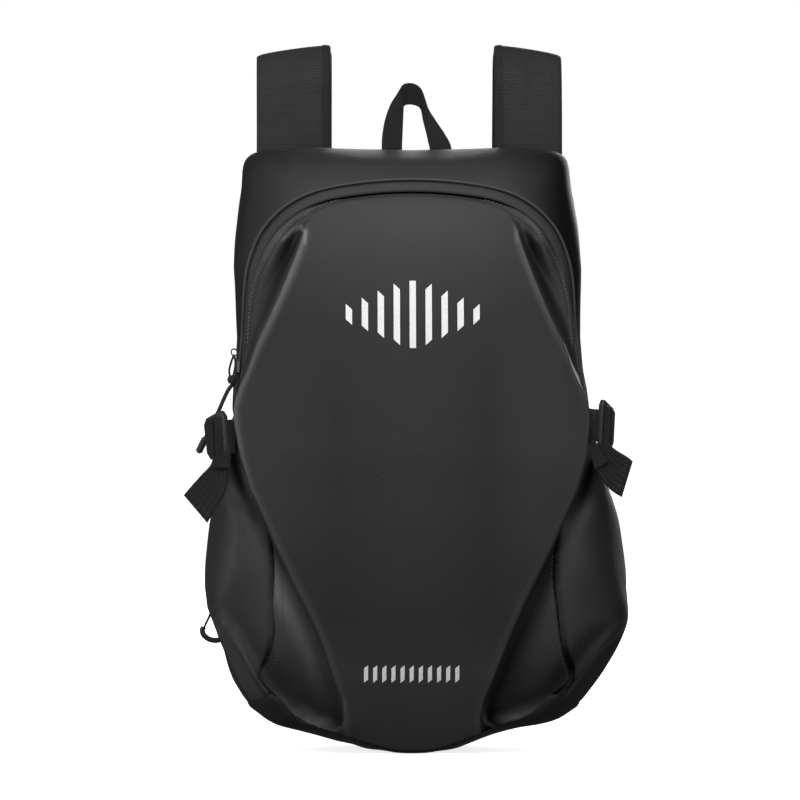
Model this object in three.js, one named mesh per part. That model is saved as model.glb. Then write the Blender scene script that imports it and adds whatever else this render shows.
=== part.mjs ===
// A motorcycle backpack with a moulded front whose raised middle is shaped like a long lozenge.
// Millimetres, +Z up. The front faces -Y, and the origin is the middle of the base it stands on.
import * as THREE from "three";

// Driving sizes of the body
const bodyHeight = 482;
const bodyWidth = 338;
const bodyDepth = 172;
const backPlane = 75;
const shellWall = 3;
const panelWall = 2;
const seamWall = 1.2;
const backWall = 3;
const tapeWidth = 9;
const pipingRadius = 1.5;

// Driving sizes of the straps
const strapWidth = 61;
const strapThickness = 12;
const strapPlace = 0.55;
const strapTopTilt = 9;
const strapRise = 81;
const strapReach = 78;
const webWidth = 25;
const lowerWebWidth = 20;
const webThickness = 1.6;
const handleWidth = 17;
const handleThickness = 2.2;
const handleRise = 47;

// Driving sizes of the back pads, the fittings and the pulls
const backPadWidth = 46;
const backPadHeight = 270;
const backPadThickness = 9;
const backPadSpacing = 16;
const backPadMiddle = 0.53;
const buckleHeight = 42;
const buckleLength = 28;
const buckleThickness = 4;
const buckleSlot = 5;
const adjusterWidth = 36;
const adjusterHeight = 26;
const tabSize = 34;
const tabThickness = 2.7;
const tabPlace = { out: 0.66, high: 0.17 };
const sliderHeight = 12;
const sliderThickness = 3.4;
const sliderStand = 1.3;
const pullCordRadius = 1.6;
const pullTipLength = 14;
const pocketCordRadius = 1;
const pocketCordLength = 11;
const gripRadius = 2.6;
const gripLength = 14;

// Clearances between the pieces
const seamGap = 0.6;
const fitGap = 0.3;

const across = (share) => (share * bodyWidth) / 2;
const high = (share) => share * bodyHeight;
const deep = (share) => backPlane - share * bodyDepth;
const point = (x, y, z) => new THREE.Vector3(x, y, z);
const between = (a, b, share) => a + (b - a) * share;
const mirrored = (p) => point(-p.x, p.y, p.z);
const mirroredRow = (row) => [...row.slice(1).reverse().map(mirrored), ...row];

// A table is written as rows of shares under the names of its columns.
function table(names, rows) {
  return rows.map((row) => Object.fromEntries(names.map((name, i) => [name, row[i]])));
}

// A value of a table at a place between its rows, the rows being ordered by the column "at".
function lookUp(rows, column, at) {
  const last = rows.length - 1;
  let i = 0;
  while (i < last - 1 && rows[i + 1].at < at) {
    i += 1;
  }
  const share = (at - rows[i].at) / (rows[i + 1].at - rows[i].at);
  return between(rows[i][column], rows[i + 1][column], share);
}

// The moulded front, from the top of the arch to the middle of the base. Each row runs from the
// centre line over the ridge of the raised middle to the sewn edge. Out is a share of half the
// width, high of the height, deep of the depth. Pit is how far the skin dips behind the ridge, and
// bulge how far the row swells outwards there.
const frontRows = table(
  ["centreHigh", "centreDeep", "ridgeOut", "ridgeHigh", "ridgeDeep", "edgeOut", "edgeHigh", "edgeDeep", "pit", "bulge"],
  [
    [0.927, 0.692, 0.391, 0.913, 0.692, 0.698, 0.817, 0.692, 0, 0.056],
    [0.9, 0.738, 0.497, 0.869, 0.727, 0.728, 0.79, 0.698, 0.012, 0.041],
    [0.863, 0.779, 0.538, 0.824, 0.773, 0.757, 0.755, 0.703, 0.046, 0.024],
    [0.817, 0.82, 0.592, 0.776, 0.808, 0.781, 0.718, 0.703, 0.052, 0.012],
    [0.751, 0.872, 0.663, 0.718, 0.826, 0.802, 0.68, 0.703, 0.035, 0],
    [0.68, 0.919, 0.74, 0.662, 0.82, 0.811, 0.637, 0.703, 0.017, 0],
    [0.618, 0.948, 0.817, 0.606, 0.797, 0.817, 0.595, 0.703, 0, 0],
    [0.573, 0.965, 0.846, 0.571, 0.791, 0.817, 0.56, 0.703, 0, 0],
    [0.531, 0.977, 0.834, 0.531, 0.802, 0.811, 0.527, 0.721, 0.006, 0],
    [0.49, 0.988, 0.817, 0.49, 0.82, 0.793, 0.485, 0.738, 0.017, 0],
    [0.436, 0.994, 0.769, 0.436, 0.843, 0.751, 0.432, 0.756, 0.02, 0],
    [0.39, 1, 0.71, 0.39, 0.866, 0.698, 0.386, 0.779, 0.02, 0],
    [0.34, 1, 0.645, 0.34, 0.89, 0.663, 0.34, 0.797, 0.017, 0],
    [0.29, 0.997, 0.574, 0.29, 0.907, 0.663, 0.29, 0.808, 0.023, 0],
    [0.237, 0.988, 0.497, 0.237, 0.922, 0.675, 0.237, 0.82, 0.04, 0],
    [0.183, 0.971, 0.432, 0.183, 0.924, 0.686, 0.191, 0.82, 0.046, 0],
    [0.133, 0.942, 0.379, 0.133, 0.913, 0.716, 0.154, 0.802, 0.046, 0],
    [0.087, 0.901, 0.331, 0.089, 0.878, 0.74, 0.122, 0.767, 0.046, 0],
    [0.046, 0.831, 0.314, 0.056, 0.831, 0.663, 0.098, 0.75, 0.035, 0],
    [0.017, 0.756, 0.32, 0.035, 0.791, 0.592, 0.066, 0.738, 0.017, 0],
    [0, 0.703, 0.314, 0.021, 0.744, 0.515, 0.048, 0.727, 0, 0],
  ],
);
const faceShares = [0, 0.2, 0.4, 0.6, 0.78, 0.92, 1];
const flankShares = [0.22, 0.5, 0.78, 1];
const pitShares = [0.8, 1, 0.6, 0];

// The side lobes, from the lower end of the zip down to the base. Each row runs on from the sewn
// edge of the front over the crease and the widest line to the edge of the back.
const lobeRows = table(
  ["creaseOut", "creaseHigh", "creaseDeep", "sideOut", "sideHigh", "sideDeep", "backOut", "backHigh"],
  [
    [0.82, 0.56, 0.645, 0.822, 0.556, 0.483, 0.734, 0.552],
    [0.828, 0.523, 0.669, 0.837, 0.517, 0.471, 0.74, 0.515],
    [0.837, 0.483, 0.692, 0.873, 0.477, 0.459, 0.751, 0.473],
    [0.846, 0.436, 0.709, 0.923, 0.429, 0.448, 0.763, 0.423],
    [0.84, 0.39, 0.738, 0.967, 0.384, 0.436, 0.775, 0.378],
    [0.846, 0.342, 0.762, 0.984, 0.338, 0.436, 0.781, 0.332],
    [0.87, 0.293, 0.773, 1, 0.288, 0.436, 0.787, 0.284],
    [0.935, 0.234, 0.727, 0.982, 0.23, 0.448, 0.787, 0.232],
    [0.893, 0.191, 0.75, 0.956, 0.187, 0.459, 0.781, 0.183],
    [0.822, 0.156, 0.762, 0.911, 0.149, 0.465, 0.763, 0.141],
    [0.763, 0.124, 0.756, 0.864, 0.118, 0.471, 0.74, 0.104],
    [0.704, 0.085, 0.703, 0.766, 0.071, 0.494, 0.686, 0.066],
  ],
);
// The last two rows of the front lie below the lobes, at the corner of the base.
const firstLobeRow = frontRows.length - lobeRows.length - 2;

// The yoke along the arch, from the middle of the top to the lower end of the zip: the rounded
// shoulder line that shows from the front, and the edge of the back behind it.
const yokeRows = table(
  ["at", "sideOut", "sideHigh", "sideDeep", "backOut", "backHigh"],
  [
    [0, 0, 0.997, 0.37, 0, 0.988],
    [0.14, 0.22, 0.999, 0.37, 0.22, 0.99],
    [0.25, 0.45, 1.005, 0.37, 0.44, 0.992],
    [0.3, 0.61, 1.001, 0.38, 0.57, 0.99],
    [0.34, 0.7, 0.99, 0.4, 0.64, 0.977],
    [0.38, 0.74, 0.971, 0.42, 0.68, 0.954],
    [0.43, 0.767, 0.939, 0.43, 0.703, 0.922],
    [0.48, 0.79, 0.899, 0.44, 0.715, 0.884],
    [0.53, 0.808, 0.86, 0.45, 0.723, 0.85],
    [0.6, 0.82, 0.81, 0.46, 0.729, 0.805],
    [0.7, 0.822, 0.748, 0.475, 0.731, 0.742],
    [0.85, 0.817, 0.653, 0.483, 0.731, 0.651],
    [1, 0.822, 0.556, 0.483, 0.734, 0.552],
  ],
);

// The outline of the base from the front: flat in the middle and rising to the sides.
const baseRows = table(
  ["at", "high"],
  [
    [0, 0],
    [0.22, 0],
    [0.34, 0.014],
    [0.47, 0.029],
    [0.62, 0.043],
    [0.71, 0.055],
    [0.77, 0.071],
  ],
);
const baseShares = [0, 0.1, 0.2, 0.34, 0.6, 0.82, 1];

const sideLoft = {
  ahead: { share: 0.5, swell: 0.03 },
  behind: [
    { share: 0.42, swell: 0.05 },
    { share: 0.76, swell: 0.04 },
  ],
};

// A point of the skin between two named lines, swollen outwards.
function swollen(from, to, { share, swell }, outwards) {
  const p = from.clone().lerp(to, share);
  return p.addScaledVector(outwards, (swell * bodyWidth) / 2);
}

function frontHalfRow(row) {
  const ridge = point(across(row.ridgeOut), deep(row.ridgeDeep), high(row.ridgeHigh));
  const edge = point(across(row.edgeOut), deep(row.edgeDeep), high(row.edgeHigh));
  const face = faceShares.map((share) => {
    const crown = share * share;
    return point(
      ridge.x * share,
      between(deep(row.centreDeep), ridge.y, crown),
      between(high(row.centreHigh), ridge.z, crown),
    );
  });
  const run = edge.clone().sub(ridge);
  const outwards = point(-run.z, 0, run.x).normalize();
  const flank = flankShares.map((share, i) => {
    const p = ridge.clone().lerp(edge, share);
    p.y += pitShares[i] * row.pit * bodyDepth;
    return p.addScaledVector(outwards, 4 * share * (1 - share) * across(row.bulge));
  });
  return [...face, ...flank];
}

const frontHalf = frontRows.map(frontHalfRow);
const edgeColumn = frontHalf.map((row) => row[row.length - 1]);
const archLine = [...frontHalf[0], ...edgeColumn.slice(1, firstLobeRow + 1)];

// The arch measured along its own length, from 0 at the middle of the top to 1 at the zip's end.
const archLengths = [0];
for (let i = 1; i < archLine.length; i += 1) {
  archLengths.push(archLengths[i - 1] + archLine[i].distanceTo(archLine[i - 1]));
}
const archShares = archLengths.map((length) => length / archLengths[archLengths.length - 1]);

// The zip tape lies flat round the top of the arch and turns to face sideways towards its end.
const turnStart = 0.45;
const turnEnd = 0.8;
function zipOuterPoint(i) {
  const before = archLine[Math.max(i - 1, 0)];
  const after = archLine[Math.min(i + 1, archLine.length - 1)];
  const along = after.clone().sub(i === 0 ? mirrored(archLine[1]) : before);
  const outwards = point(-along.z, 0, along.x).normalize();
  const turn = THREE.MathUtils.smoothstep(archShares[i], turnStart, turnEnd);
  const p = archLine[i].clone().addScaledVector(outwards, tapeWidth * between(0.88, 0.08, turn));
  p.y += tapeWidth * between(0.45, 1, turn);
  return p;
}
const zipLine = archLine.map((_, i) => zipOuterPoint(i));

function sidePoints(zipSide, widest, backEdge) {
  const outwards = point(widest.x - backEdge.x, 0, widest.z - backEdge.z).normalize();
  const ahead = swollen(zipSide, widest, sideLoft.ahead, outwards);
  const behind = sideLoft.behind.map((step) => swollen(widest, backEdge, step, outwards));
  return [ahead, widest, ...behind, backEdge];
}

function yokeHalfRow(i) {
  const at = archShares[i];
  const read = (column) => lookUp(yokeRows, column, at);
  const widest = point(across(read("sideOut")), deep(read("sideDeep")), high(read("sideHigh")));
  const backEdge = point(across(read("backOut")), backPlane, high(read("backHigh")));
  return [zipLine[i], ...sidePoints(zipLine[i], widest, backEdge)];
}
const yokeHalf = archLine.map((_, i) => yokeHalfRow(i));

function lobeRow(row, i) {
  if (i === 0) {
    return [edgeColumn[firstLobeRow], ...yokeHalf[yokeHalf.length - 1]];
  }
  const crease = point(across(row.creaseOut), deep(row.creaseDeep), high(row.creaseHigh));
  const widest = point(across(row.sideOut), deep(row.sideDeep), high(row.sideHigh));
  const backEdge = point(across(row.backOut), backPlane, high(row.backHigh));
  return [edgeColumn[firstLobeRow + i], crease, ...sidePoints(crease, widest, backEdge)];
}
const lobe = lobeRows.map(lobeRow);

// The base runs from the lower edge of the front to the edge of the back.
function baseGrid() {
  const lastEdge = firstLobeRow + lobe.length - 1;
  const cornerColumn = edgeColumn.slice(lastEdge, -1).reverse();
  const front = [...frontHalf[frontHalf.length - 1], ...cornerColumn];
  const side = lobe[lobe.length - 1];
  const farOut = front[front.length - 1].x;
  return side.map((sidePoint, r) =>
    front.map((frontPoint, c) => {
      if (r === 0) {
        return frontPoint;
      }
      if (c === front.length - 1) {
        return sidePoint;
      }
      const out = (frontPoint.x / farOut) * sidePoint.x;
      const tuck = r === 1 ? 0.35 : 0;
      const low = high(lookUp(baseRows, "high", out / across(1)));
      const y = between(front[0].y, backPlane, baseShares[r]);
      const bow = between(y, sidePoint.y, (out / sidePoint.x) ** 2);
      return point(out, bow, between(low, frontPoint.z, tuck));
    }),
  );
}

// A closed body from its corners and triangles, turned to face outwards.
function solid(corners, triangles) {
  let volume = 0;
  for (const [a, b, c] of triangles) {
    volume += corners[a].dot(corners[b].clone().cross(corners[c]));
  }
  const index = triangles.flatMap(([a, b, c]) => (volume < 0 ? [a, c, b] : [a, b, c]));
  const geometry = new THREE.BufferGeometry();
  const positions = corners.flatMap((p) => [p.x, p.y, p.z]);
  geometry.setAttribute("position", new THREE.Float32BufferAttribute(positions, 3));
  geometry.setIndex(index);
  geometry.computeVertexNormals();
  return geometry;
}

const placeKey = (p) => [p.x, p.y, p.z].map((v) => Math.round(v * 100)).join(" ");
const bodyMiddle = point(0, 0, bodyHeight / 2);

function eachQuad(grid, visit) {
  for (let i = 0; i < grid.length - 1; i += 1) {
    for (let j = 0; j < grid[0].length - 1; j += 1) {
      visit(grid[i][j], grid[i][j + 1], grid[i + 1][j + 1], grid[i + 1][j], i, j);
    }
  }
}

const quadNormal = (a, b, c, d) => c.clone().sub(a).cross(d.clone().sub(b));

// Neighbouring panels share the direction of their walls along a seam, so that they never cross.
function skinNormals(grids) {
  const sums = new Map();
  for (const grid of grids) {
    let facing = 0;
    eachQuad(grid, (a, b, c, d) => {
      facing += quadNormal(a, b, c, d).dot(a.clone().add(c).multiplyScalar(0.5).sub(bodyMiddle));
    });
    eachQuad(grid, (a, b, c, d) => {
      const normal = quadNormal(a, b, c, d).multiplyScalar(Math.sign(facing));
      for (const corner of [a, b, c, d]) {
        const key = placeKey(corner);
        sums.set(key, (sums.get(key) ?? point(0, 0, 0)).add(normal));
      }
    });
  }
  return (p) => sums.get(placeKey(p)).clone().normalize();
}

// How far a point on the edge of a panel steps back from the seam.
function seamStep(grid, i, j) {
  const step = point(0, 0, 0);
  const here = grid[i][j];
  const add = (neighbour) => step.add(neighbour.clone().sub(here).setLength(seamGap / 2));
  if (i === 0) add(grid[1][j]);
  if (i === grid.length - 1) add(grid[i - 1][j]);
  if (j === 0) add(grid[i][1]);
  if (j === grid[0].length - 1) add(grid[i][j - 1]);
  return step;
}

// A sewn panel: the outer skin, the inner skin a wall behind it, and the cut edge round both.
// The wall thins out to the seams.
function panel(grid, normalAt, wall) {
  const columns = grid[0].length;
  const outer = [];
  const inner = [];
  grid.forEach((row, i) =>
    row.forEach((p, j) => {
      const step = seamStep(grid, i, j);
      const thick = step.length() > 0 ? seamWall : wall;
      const q = p.clone().add(step);
      outer.push(q);
      inner.push(q.clone().addScaledVector(normalAt(p), -thick));
    }),
  );
  const count = outer.length;
  const corners = [...outer, ...inner];
  const triangles = [];
  const at = (i, j) => i * columns + j;
  eachQuad(grid, (a, b, c, d, i, j) => {
    const [p, q, r, s] = [at(i, j), at(i, j + 1), at(i + 1, j + 1), at(i + 1, j)];
    const cut = a.distanceTo(c) <= b.distanceTo(d) ? [[p, q, r], [p, r, s]] : [[p, q, s], [q, r, s]];
    triangles.push(...cut);
    triangles.push(...cut.map(([u, v, w]) => [u + count, w + count, v + count]));
  });
  const rim = [];
  for (let j = 0; j < columns; j += 1) rim.push(at(0, j));
  for (let i = 1; i < grid.length; i += 1) rim.push(at(i, columns - 1));
  for (let j = columns - 2; j >= 0; j -= 1) rim.push(at(grid.length - 1, j));
  for (let i = grid.length - 2; i > 0; i -= 1) rim.push(at(i, 0));
  rim.forEach((a, k) => {
    const b = rim[(k + 1) % rim.length];
    triangles.push([a, a + count, b + count], [a, b + count, b]);
  });
  return solid(corners, triangles);
}

// A band swept through stations, each with its middle, its sideways direction and its face.
function sweep(stations, section) {
  const corners = stations.flatMap(({ at, side, face, grow = 1 }) =>
    section.map(([u, v]) => at.clone().addScaledVector(side, u * grow).addScaledVector(face, v)),
  );
  const sides = section.length;
  const triangles = [];
  for (let i = 0; i < stations.length - 1; i += 1) {
    for (let k = 0; k < sides; k += 1) {
      const a = i * sides + k;
      const b = i * sides + ((k + 1) % sides);
      triangles.push([a, b, b + sides], [a, b + sides, a + sides]);
    }
  }
  const last = (stations.length - 1) * sides;
  for (let k = 1; k < sides - 1; k += 1) {
    triangles.push([0, k + 1, k], [last, last + k, last + k + 1]);
  }
  return solid(corners, triangles);
}

// The stations of a band along its middle line, given its sideways direction at each point.
function bandStations(points, sideAt) {
  return points.map((at, i) => {
    const before = points[Math.max(i - 1, 0)];
    const after = points[Math.min(i + 1, points.length - 1)];
    const along = after.clone().sub(before).normalize();
    const side = sideAt(i, along).clone();
    side.addScaledVector(along, -side.dot(along)).normalize();
    return { at, side, face: along.clone().cross(side) };
  });
}

const flatSection = (width, thickness) => [
  [-width / 2, -thickness / 2],
  [width / 2, -thickness / 2],
  [width / 2, thickness / 2],
  [-width / 2, thickness / 2],
];

// A padded section has rounded edges: it thins out over its last few millimetres.
function paddedSection(width, thickness) {
  const edge = thickness * 0.45;
  const thin = thickness * 0.2;
  return [
    [-width / 2, -thin],
    [-width / 2 + edge, -thickness / 2],
    [width / 2 - edge, -thickness / 2],
    [width / 2, -thin],
    [width / 2, thin],
    [width / 2 - edge, thickness / 2],
    [-width / 2 + edge, thickness / 2],
    [-width / 2, thin],
  ];
}

function roundCord(points, radius, sides, steps) {
  const ring = new THREE.Shape();
  for (let k = 0; k < sides; k += 1) {
    const angle = (2 * Math.PI * k) / sides;
    const corner = [radius * Math.cos(angle), radius * Math.sin(angle)];
    if (k === 0) ring.moveTo(...corner);
    else ring.lineTo(...corner);
  }
  const path = new THREE.CatmullRomCurve3(points);
  return new THREE.ExtrudeGeometry(ring, { steps, extrudePath: path, bevelEnabled: false });
}

function roundedRectangle(width, height, radius) {
  const shape = new THREE.Shape();
  const [x, y] = [width / 2, height / 2];
  shape.moveTo(-x + radius, -y);
  shape.lineTo(x - radius, -y);
  shape.lineTo(x, -y + radius);
  shape.lineTo(x, y - radius);
  shape.lineTo(x - radius, y);
  shape.lineTo(-x + radius, y);
  shape.lineTo(-x, y - radius);
  shape.lineTo(-x, -y + radius);
  return shape;
}

// A plate with rounded corners and slots for webbing, lying in its own XY plane.
function slottedPlate(width, height, thickness, slots) {
  const corner = Math.min(thickness, width * 0.3, height * 0.3);
  const shape = roundedRectangle(width, height, corner);
  for (const { x, size, length } of slots) {
    const hole = new THREE.Path();
    hole.moveTo(x - size / 2, -length / 2);
    hole.lineTo(x - size / 2, length / 2);
    hole.lineTo(x + size / 2, length / 2);
    hole.lineTo(x + size / 2, -length / 2);
    shape.holes.push(hole);
  }
  const geometry = new THREE.ExtrudeGeometry(shape, { depth: thickness, bevelEnabled: false });
  return geometry.translate(0, 0, -thickness / 2);
}

// Puts a piece whose own X and Y are given as directions in the object at a place.
function placed(geometry, at, ownX, ownY) {
  const x = ownX.clone().normalize();
  const z = x.clone().cross(ownY).normalize();
  const y = z.clone().cross(x);
  return geometry.applyMatrix4(new THREE.Matrix4().makeBasis(x, y, z).setPosition(at));
}

const finishes = {
  coatedFabric: { color: 0x2f3032, roughness: 0.62, metalness: 0 },
  strapFabric: { color: 0x2b2c2e, roughness: 0.8, metalness: 0 },
  meshFabric: { color: 0x1b1c1e, roughness: 0.95, metalness: 0 },
  webbing: { color: 0x15161a, roughness: 0.75, metalness: 0 },
  zipTape: { color: 0x111214, roughness: 0.7, metalness: 0 },
  plastic: { color: 0x101112, roughness: 0.45, metalness: 0 },
  metal: { color: 0x1a1b1c, roughness: 0.4, metalness: 0.8 },
  cord: { color: 0x121315, roughness: 0.8, metalness: 0 },
  rubber: { color: 0x141516, roughness: 0.6, metalness: 0 },
};

const backpack = new THREE.Group();

function add(name, geometry, finish) {
  const mesh = new THREE.Mesh(geometry, new THREE.MeshStandardMaterial(finishes[finish]));
  mesh.name = name;
  backpack.add(mesh);
}

// Left is the wearer's view of the photograph: the side where X is negative.
const sides = [
  { name: "left", sign: -1 },
  { name: "right", sign: 1 },
];

function buildBody() {
  const archRows = (half) => [...half.slice(1).reverse().map((row) => row.map(mirrored)), ...half];
  const front = frontHalf.map(mirroredRow);
  const tape = archRows(archLine.map((p, i) => [p, zipLine[i]]));
  const yoke = archRows(yokeHalf);
  const base = baseGrid().map(mirroredRow);
  const leftLobe = lobe.map((row) => row.map(mirrored));
  const normalAt = skinNormals([front, tape, yoke, base, lobe, leftLobe]);
  add("front_shell", panel(front, normalAt, shellWall), "coatedFabric");
  add("zip_tape", panel(tape, normalAt, panelWall), "zipTape");
  add("yoke", panel(yoke, normalAt, panelWall), "coatedFabric");
  add("side_lobe_left", panel(leftLobe, normalAt, panelWall), "coatedFabric");
  add("side_lobe_right", panel(lobe, normalAt, panelWall), "coatedFabric");
  add("base_panel", panel(base, normalAt, panelWall), "coatedFabric");

  // The piping lies on the seam between the tape and the yoke.
  const pipingLine = archRows(zipLine.map((p) => [p.clone().addScaledVector(normalAt(p), pipingRadius + fitGap)]));
  add("yoke_piping", roundCord(pipingLine.map(([p]) => p), pipingRadius, 6, 56), "coatedFabric");

  // The back panel is let in between the walls that end at the back.
  const inset = panelWall + fitGap;
  const outline = [
    ...yokeHalf.map((row) => row[row.length - 1]),
    ...lobe.slice(1).map((row) => row[row.length - 1]),
    ...base[base.length - 1].slice(base[0].length >> 1, -1).reverse(),
  ];
  add("back_panel", backPanel(outline, inset), "meshFabric");
}

function backPanel(outline, inset) {
  const inner = outline.map((p, i) => {
    const before = i === 0 ? mirrored(outline[1]) : outline[i - 1];
    const after = i === outline.length - 1 ? mirrored(outline[i - 1]) : outline[i + 1];
    const along = after.clone().sub(before);
    const inwards = point(along.z, 0, -along.x).normalize();
    const q = p.clone().addScaledVector(inwards, inset);
    return new THREE.Vector2(Math.max(q.x, 0), q.z);
  });
  inner[0].x = 0;
  inner[inner.length - 1].x = 0;
  const left = inner.slice(1, -1).reverse().map((q) => new THREE.Vector2(-q.x, q.y));
  const shape = new THREE.Shape([...inner, ...left]);
  const geometry = new THREE.ExtrudeGeometry(shape, { depth: backWall, bevelEnabled: false });
  return geometry.rotateX(Math.PI / 2).translate(0, backPlane, 0);
}

function buildBackPads() {
  const middleHigh = high(backPadMiddle);
  const spread = (backPadWidth + backPadSpacing) / 2;
  for (const { name, sign } of sides) {
    const points = [0, 0.06, 0.5, 0.94, 1].map((share) =>
      point(sign * spread, backPlane + fitGap + backPadThickness / 2, middleHigh + (share - 0.5) * backPadHeight),
    );
    const stations = bandStations(points, () => point(1, 0, 0));
    stations[0].grow = 0.8;
    stations[stations.length - 1].grow = 0.8;
    add(`back_pad_${name}`, sweep(stations, paddedSection(backPadWidth, backPadThickness)), "meshFabric");
  }
}

// The middle line of a shoulder strap from its seam on the back over the top and down behind.
// Behind is a share of the strap's reach behind the back, high of the body's height, rise of the
// strap's rise above the body.
const strapRows = table(
  ["behind", "high", "rise", "tilt", "width"],
  [
    [0.08, 0.9, 0, 0.2, 1],
    [0.08, 0.96, 0, 0.4, 1],
    [0.09, 1, 0.1, 0.6, 1],
    [0.12, 1, 0.42, 0.85, 1],
    [0.2, 1, 0.7, 1, 1],
    [0.34, 1, 0.88, 1, 1],
    [0.5, 1, 0.93, 1, 1],
    [0.67, 1, 0.84, 1, 1],
    [0.8, 1, 0.62, 0.8, 1],
    [0.89, 1, 0.34, 0.6, 1],
    [0.95, 1, 0, 0.4, 1],
    [0.98, 0.9, 0, 0.2, 1],
    [0.97, 0.8, 0, 0, 0.98],
    [0.93, 0.7, 0, 0, 0.95],
    [0.86, 0.6, 0, 0, 0.9],
    [0.77, 0.5, 0, 0, 0.82],
    [0.68, 0.42, 0, 0, 0.7],
  ],
);

function strapPoint(row, sign) {
  const z = high(row.high) + row.rise * strapRise;
  return point(sign * across(strapPlace), backPlane + fitGap + row.behind * strapReach, z);
}

function buildShoulderStraps() {
  for (const { name, sign } of sides) {
    const points = strapRows.map((row) => strapPoint(row, sign));
    const drop = (strapTopTilt / strapWidth) * sign;
    const stations = bandStations(points, (i) => point(1, 0, -drop * strapRows[i].tilt));
    stations.forEach((station, i) => {
      station.grow = strapRows[i].width;
    });
    add(`shoulder_strap_${name}`, sweep(stations, paddedSection(strapWidth, strapThickness)), "strapFabric");
  }
}

// Below each shoulder strap a ladder buckle and webbing lead to a tab in the lower corner.
function buildLowerStraps() {
  const strapEnd = strapRows[strapRows.length - 1];
  const above = strapRows[strapRows.length - 2];
  const tabBehind = backPlane + fitGap + tabThickness / 2;
  const tabMiddle = point(across(tabPlace.out), tabBehind, high(tabPlace.high));
  for (const { name, sign } of sides) {
    const end = strapPoint(strapEnd, sign);
    const along = end.clone().sub(strapPoint(above, sign)).normalize();
    const facing = point(sign, 0, 0).cross(along).normalize();
    const slots = [-0.22, 0.22].map((share, i) => ({
      x: share * adjusterHeight,
      size: buckleSlot,
      length: lowerWebWidth + 2 + i,
    }));
    const plate = slottedPlate(adjusterHeight, adjusterWidth, buckleThickness - 1, slots);
    const plateMiddle = end.clone().addScaledVector(along, adjusterHeight / 2 + fitGap);
    add(`strap_adjuster_${name}`, placed(plate, plateMiddle, along, point(1, 0, 0)), "plastic");

    const tab = point(sign * tabMiddle.x, tabMiddle.y, tabMiddle.z);
    const tabPlate = slottedPlate(tabSize, tabSize, tabThickness, []);
    add(`corner_tab_${name}`, placed(tabPlate, tab, point(1, 0, 0), point(0, 0, 1)), "webbing");

    const webStart = plateMiddle.clone().addScaledVector(along, adjusterHeight / 2 + fitGap);
    const webBehind = tab.y + tabThickness / 2 + fitGap + webThickness / 2;
    const webEnd = point(tab.x, webBehind, tab.z - tabSize * 0.3);
    const webTurn = point(tab.x, webEnd.y, tab.z + tabSize * 0.5);
    const webPoints = [
      webStart,
      webStart.clone().addScaledVector(along, 4),
      webStart.clone().lerp(webTurn, 0.33),
      webStart.clone().lerp(webTurn, 0.67),
      webTurn.clone().add(point(0, 1, 6)),
      webTurn.clone().add(point(0, 0, -4)),
      webEnd,
    ];
    const stations = bandStations(webPoints, () => point(1, 0, 0));
    add(`lower_web_${name}`, sweep(stations, flatSection(lowerWebWidth, webThickness)), "webbing");
  }
}

// The grab handle is one length of webbing that twists over from leg to leg. Out and rise are
// shares of its rise above the body, and turn is the direction of its width.
const handleRows = [
  { out: -0.36, rise: -0.3, turn: [1, 0, 0] },
  { out: -0.36, rise: 0.02, turn: [1, 0, 0.02] },
  { out: -0.345, rise: 0.3, turn: [1, -0.05, 0.22] },
  { out: -0.28, rise: 0.56, turn: [0.8, -0.1, 0.5] },
  { out: -0.19, rise: 0.74, turn: [0.5, -0.1, 0.8] },
  { out: -0.04, rise: 0.82, turn: [0.1, 0, 1] },
  { out: 0.1, rise: 0.78, turn: [-0.15, 0.15, 1] },
  { out: 0.18, rise: 0.66, turn: [0.2, 0.5, 0.7] },
  { out: 0.22, rise: 0.52, turn: [0.4, 0.85, 0.3] },
  { out: 0.3, rise: 0.36, turn: [0.7, 0.65, 0.1] },
  { out: 0.39, rise: 0.2, turn: [0.9, 0.35, 0.1] },
  { out: 0.455, rise: 0.04, turn: [1, 0.1, 0.05] },
  { out: 0.46, rise: -0.3, turn: [1, 0, 0] },
];

function buildHandle() {
  const legDeep = backPlane + fitGap + handleThickness / 2;
  const points = handleRows.map(({ out, rise }) => {
    const lean = Math.max(rise, 0) * 6;
    return point(out * handleRise, legDeep + lean, bodyHeight + rise * handleRise);
  });
  const stations = bandStations(points, (i) => point(...handleRows[i].turn));
  add("grab_handle", sweep(stations, flatSection(handleWidth, handleThickness)), "webbing");
}

// The compression straps sit at the widest corners of the raised front. The photograph shows the
// two sides a little differently, so each side has its own row. Places are shares of the body.
const compression = [
  {
    ...sides[0],
    buckle: { out: 0.915, deep: 0.725, high: 0.522, lean: 0.1, turn: 0.72 },
    tail: {
      top: { out: 0.864, high: 0.481 },
      root: { out: 0.904, high: 0.454 },
      end: { out: 1.018, high: 0.404 },
      widthLean: 0.675,
      widthDeep: 0.5,
      settle: 0.128,
    },
  },
  {
    ...sides[1],
    buckle: { out: 0.911, deep: 0.725, high: 0.54, lean: -0.05, turn: 0.42 },
    tail: {
      top: { out: 0.873, high: 0.501 },
      root: { out: 0.909, high: 0.484 },
      end: { out: 1.003, high: 0.45 },
      widthLean: 0.52,
      widthDeep: 0.54,
      settle: 0.08,
    },
  },
];

const widestColumn = 3;

// The point of a column of the skin at a height.
function skinAt(grid, column, z) {
  let i = 0;
  while (i < grid.length - 2 && grid[i + 1][column].z > z) {
    i += 1;
  }
  const [above, below] = [grid[i][column], grid[i + 1][column]];
  return above.clone().lerp(below, (above.z - z) / (above.z - below.z));
}

// A point at a distance off the side of the bag at a height.
function sideRest(column, z, away) {
  const ahead = skinAt(lobe, column - 1, z);
  const behind = skinAt(lobe, Math.min(column + 1, lobe[0].length - 1), z);
  const outwards = point(behind.y - ahead.y, ahead.x - behind.x, 0).normalize();
  return skinAt(lobe, column, z).addScaledVector(outwards, away);
}

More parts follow.
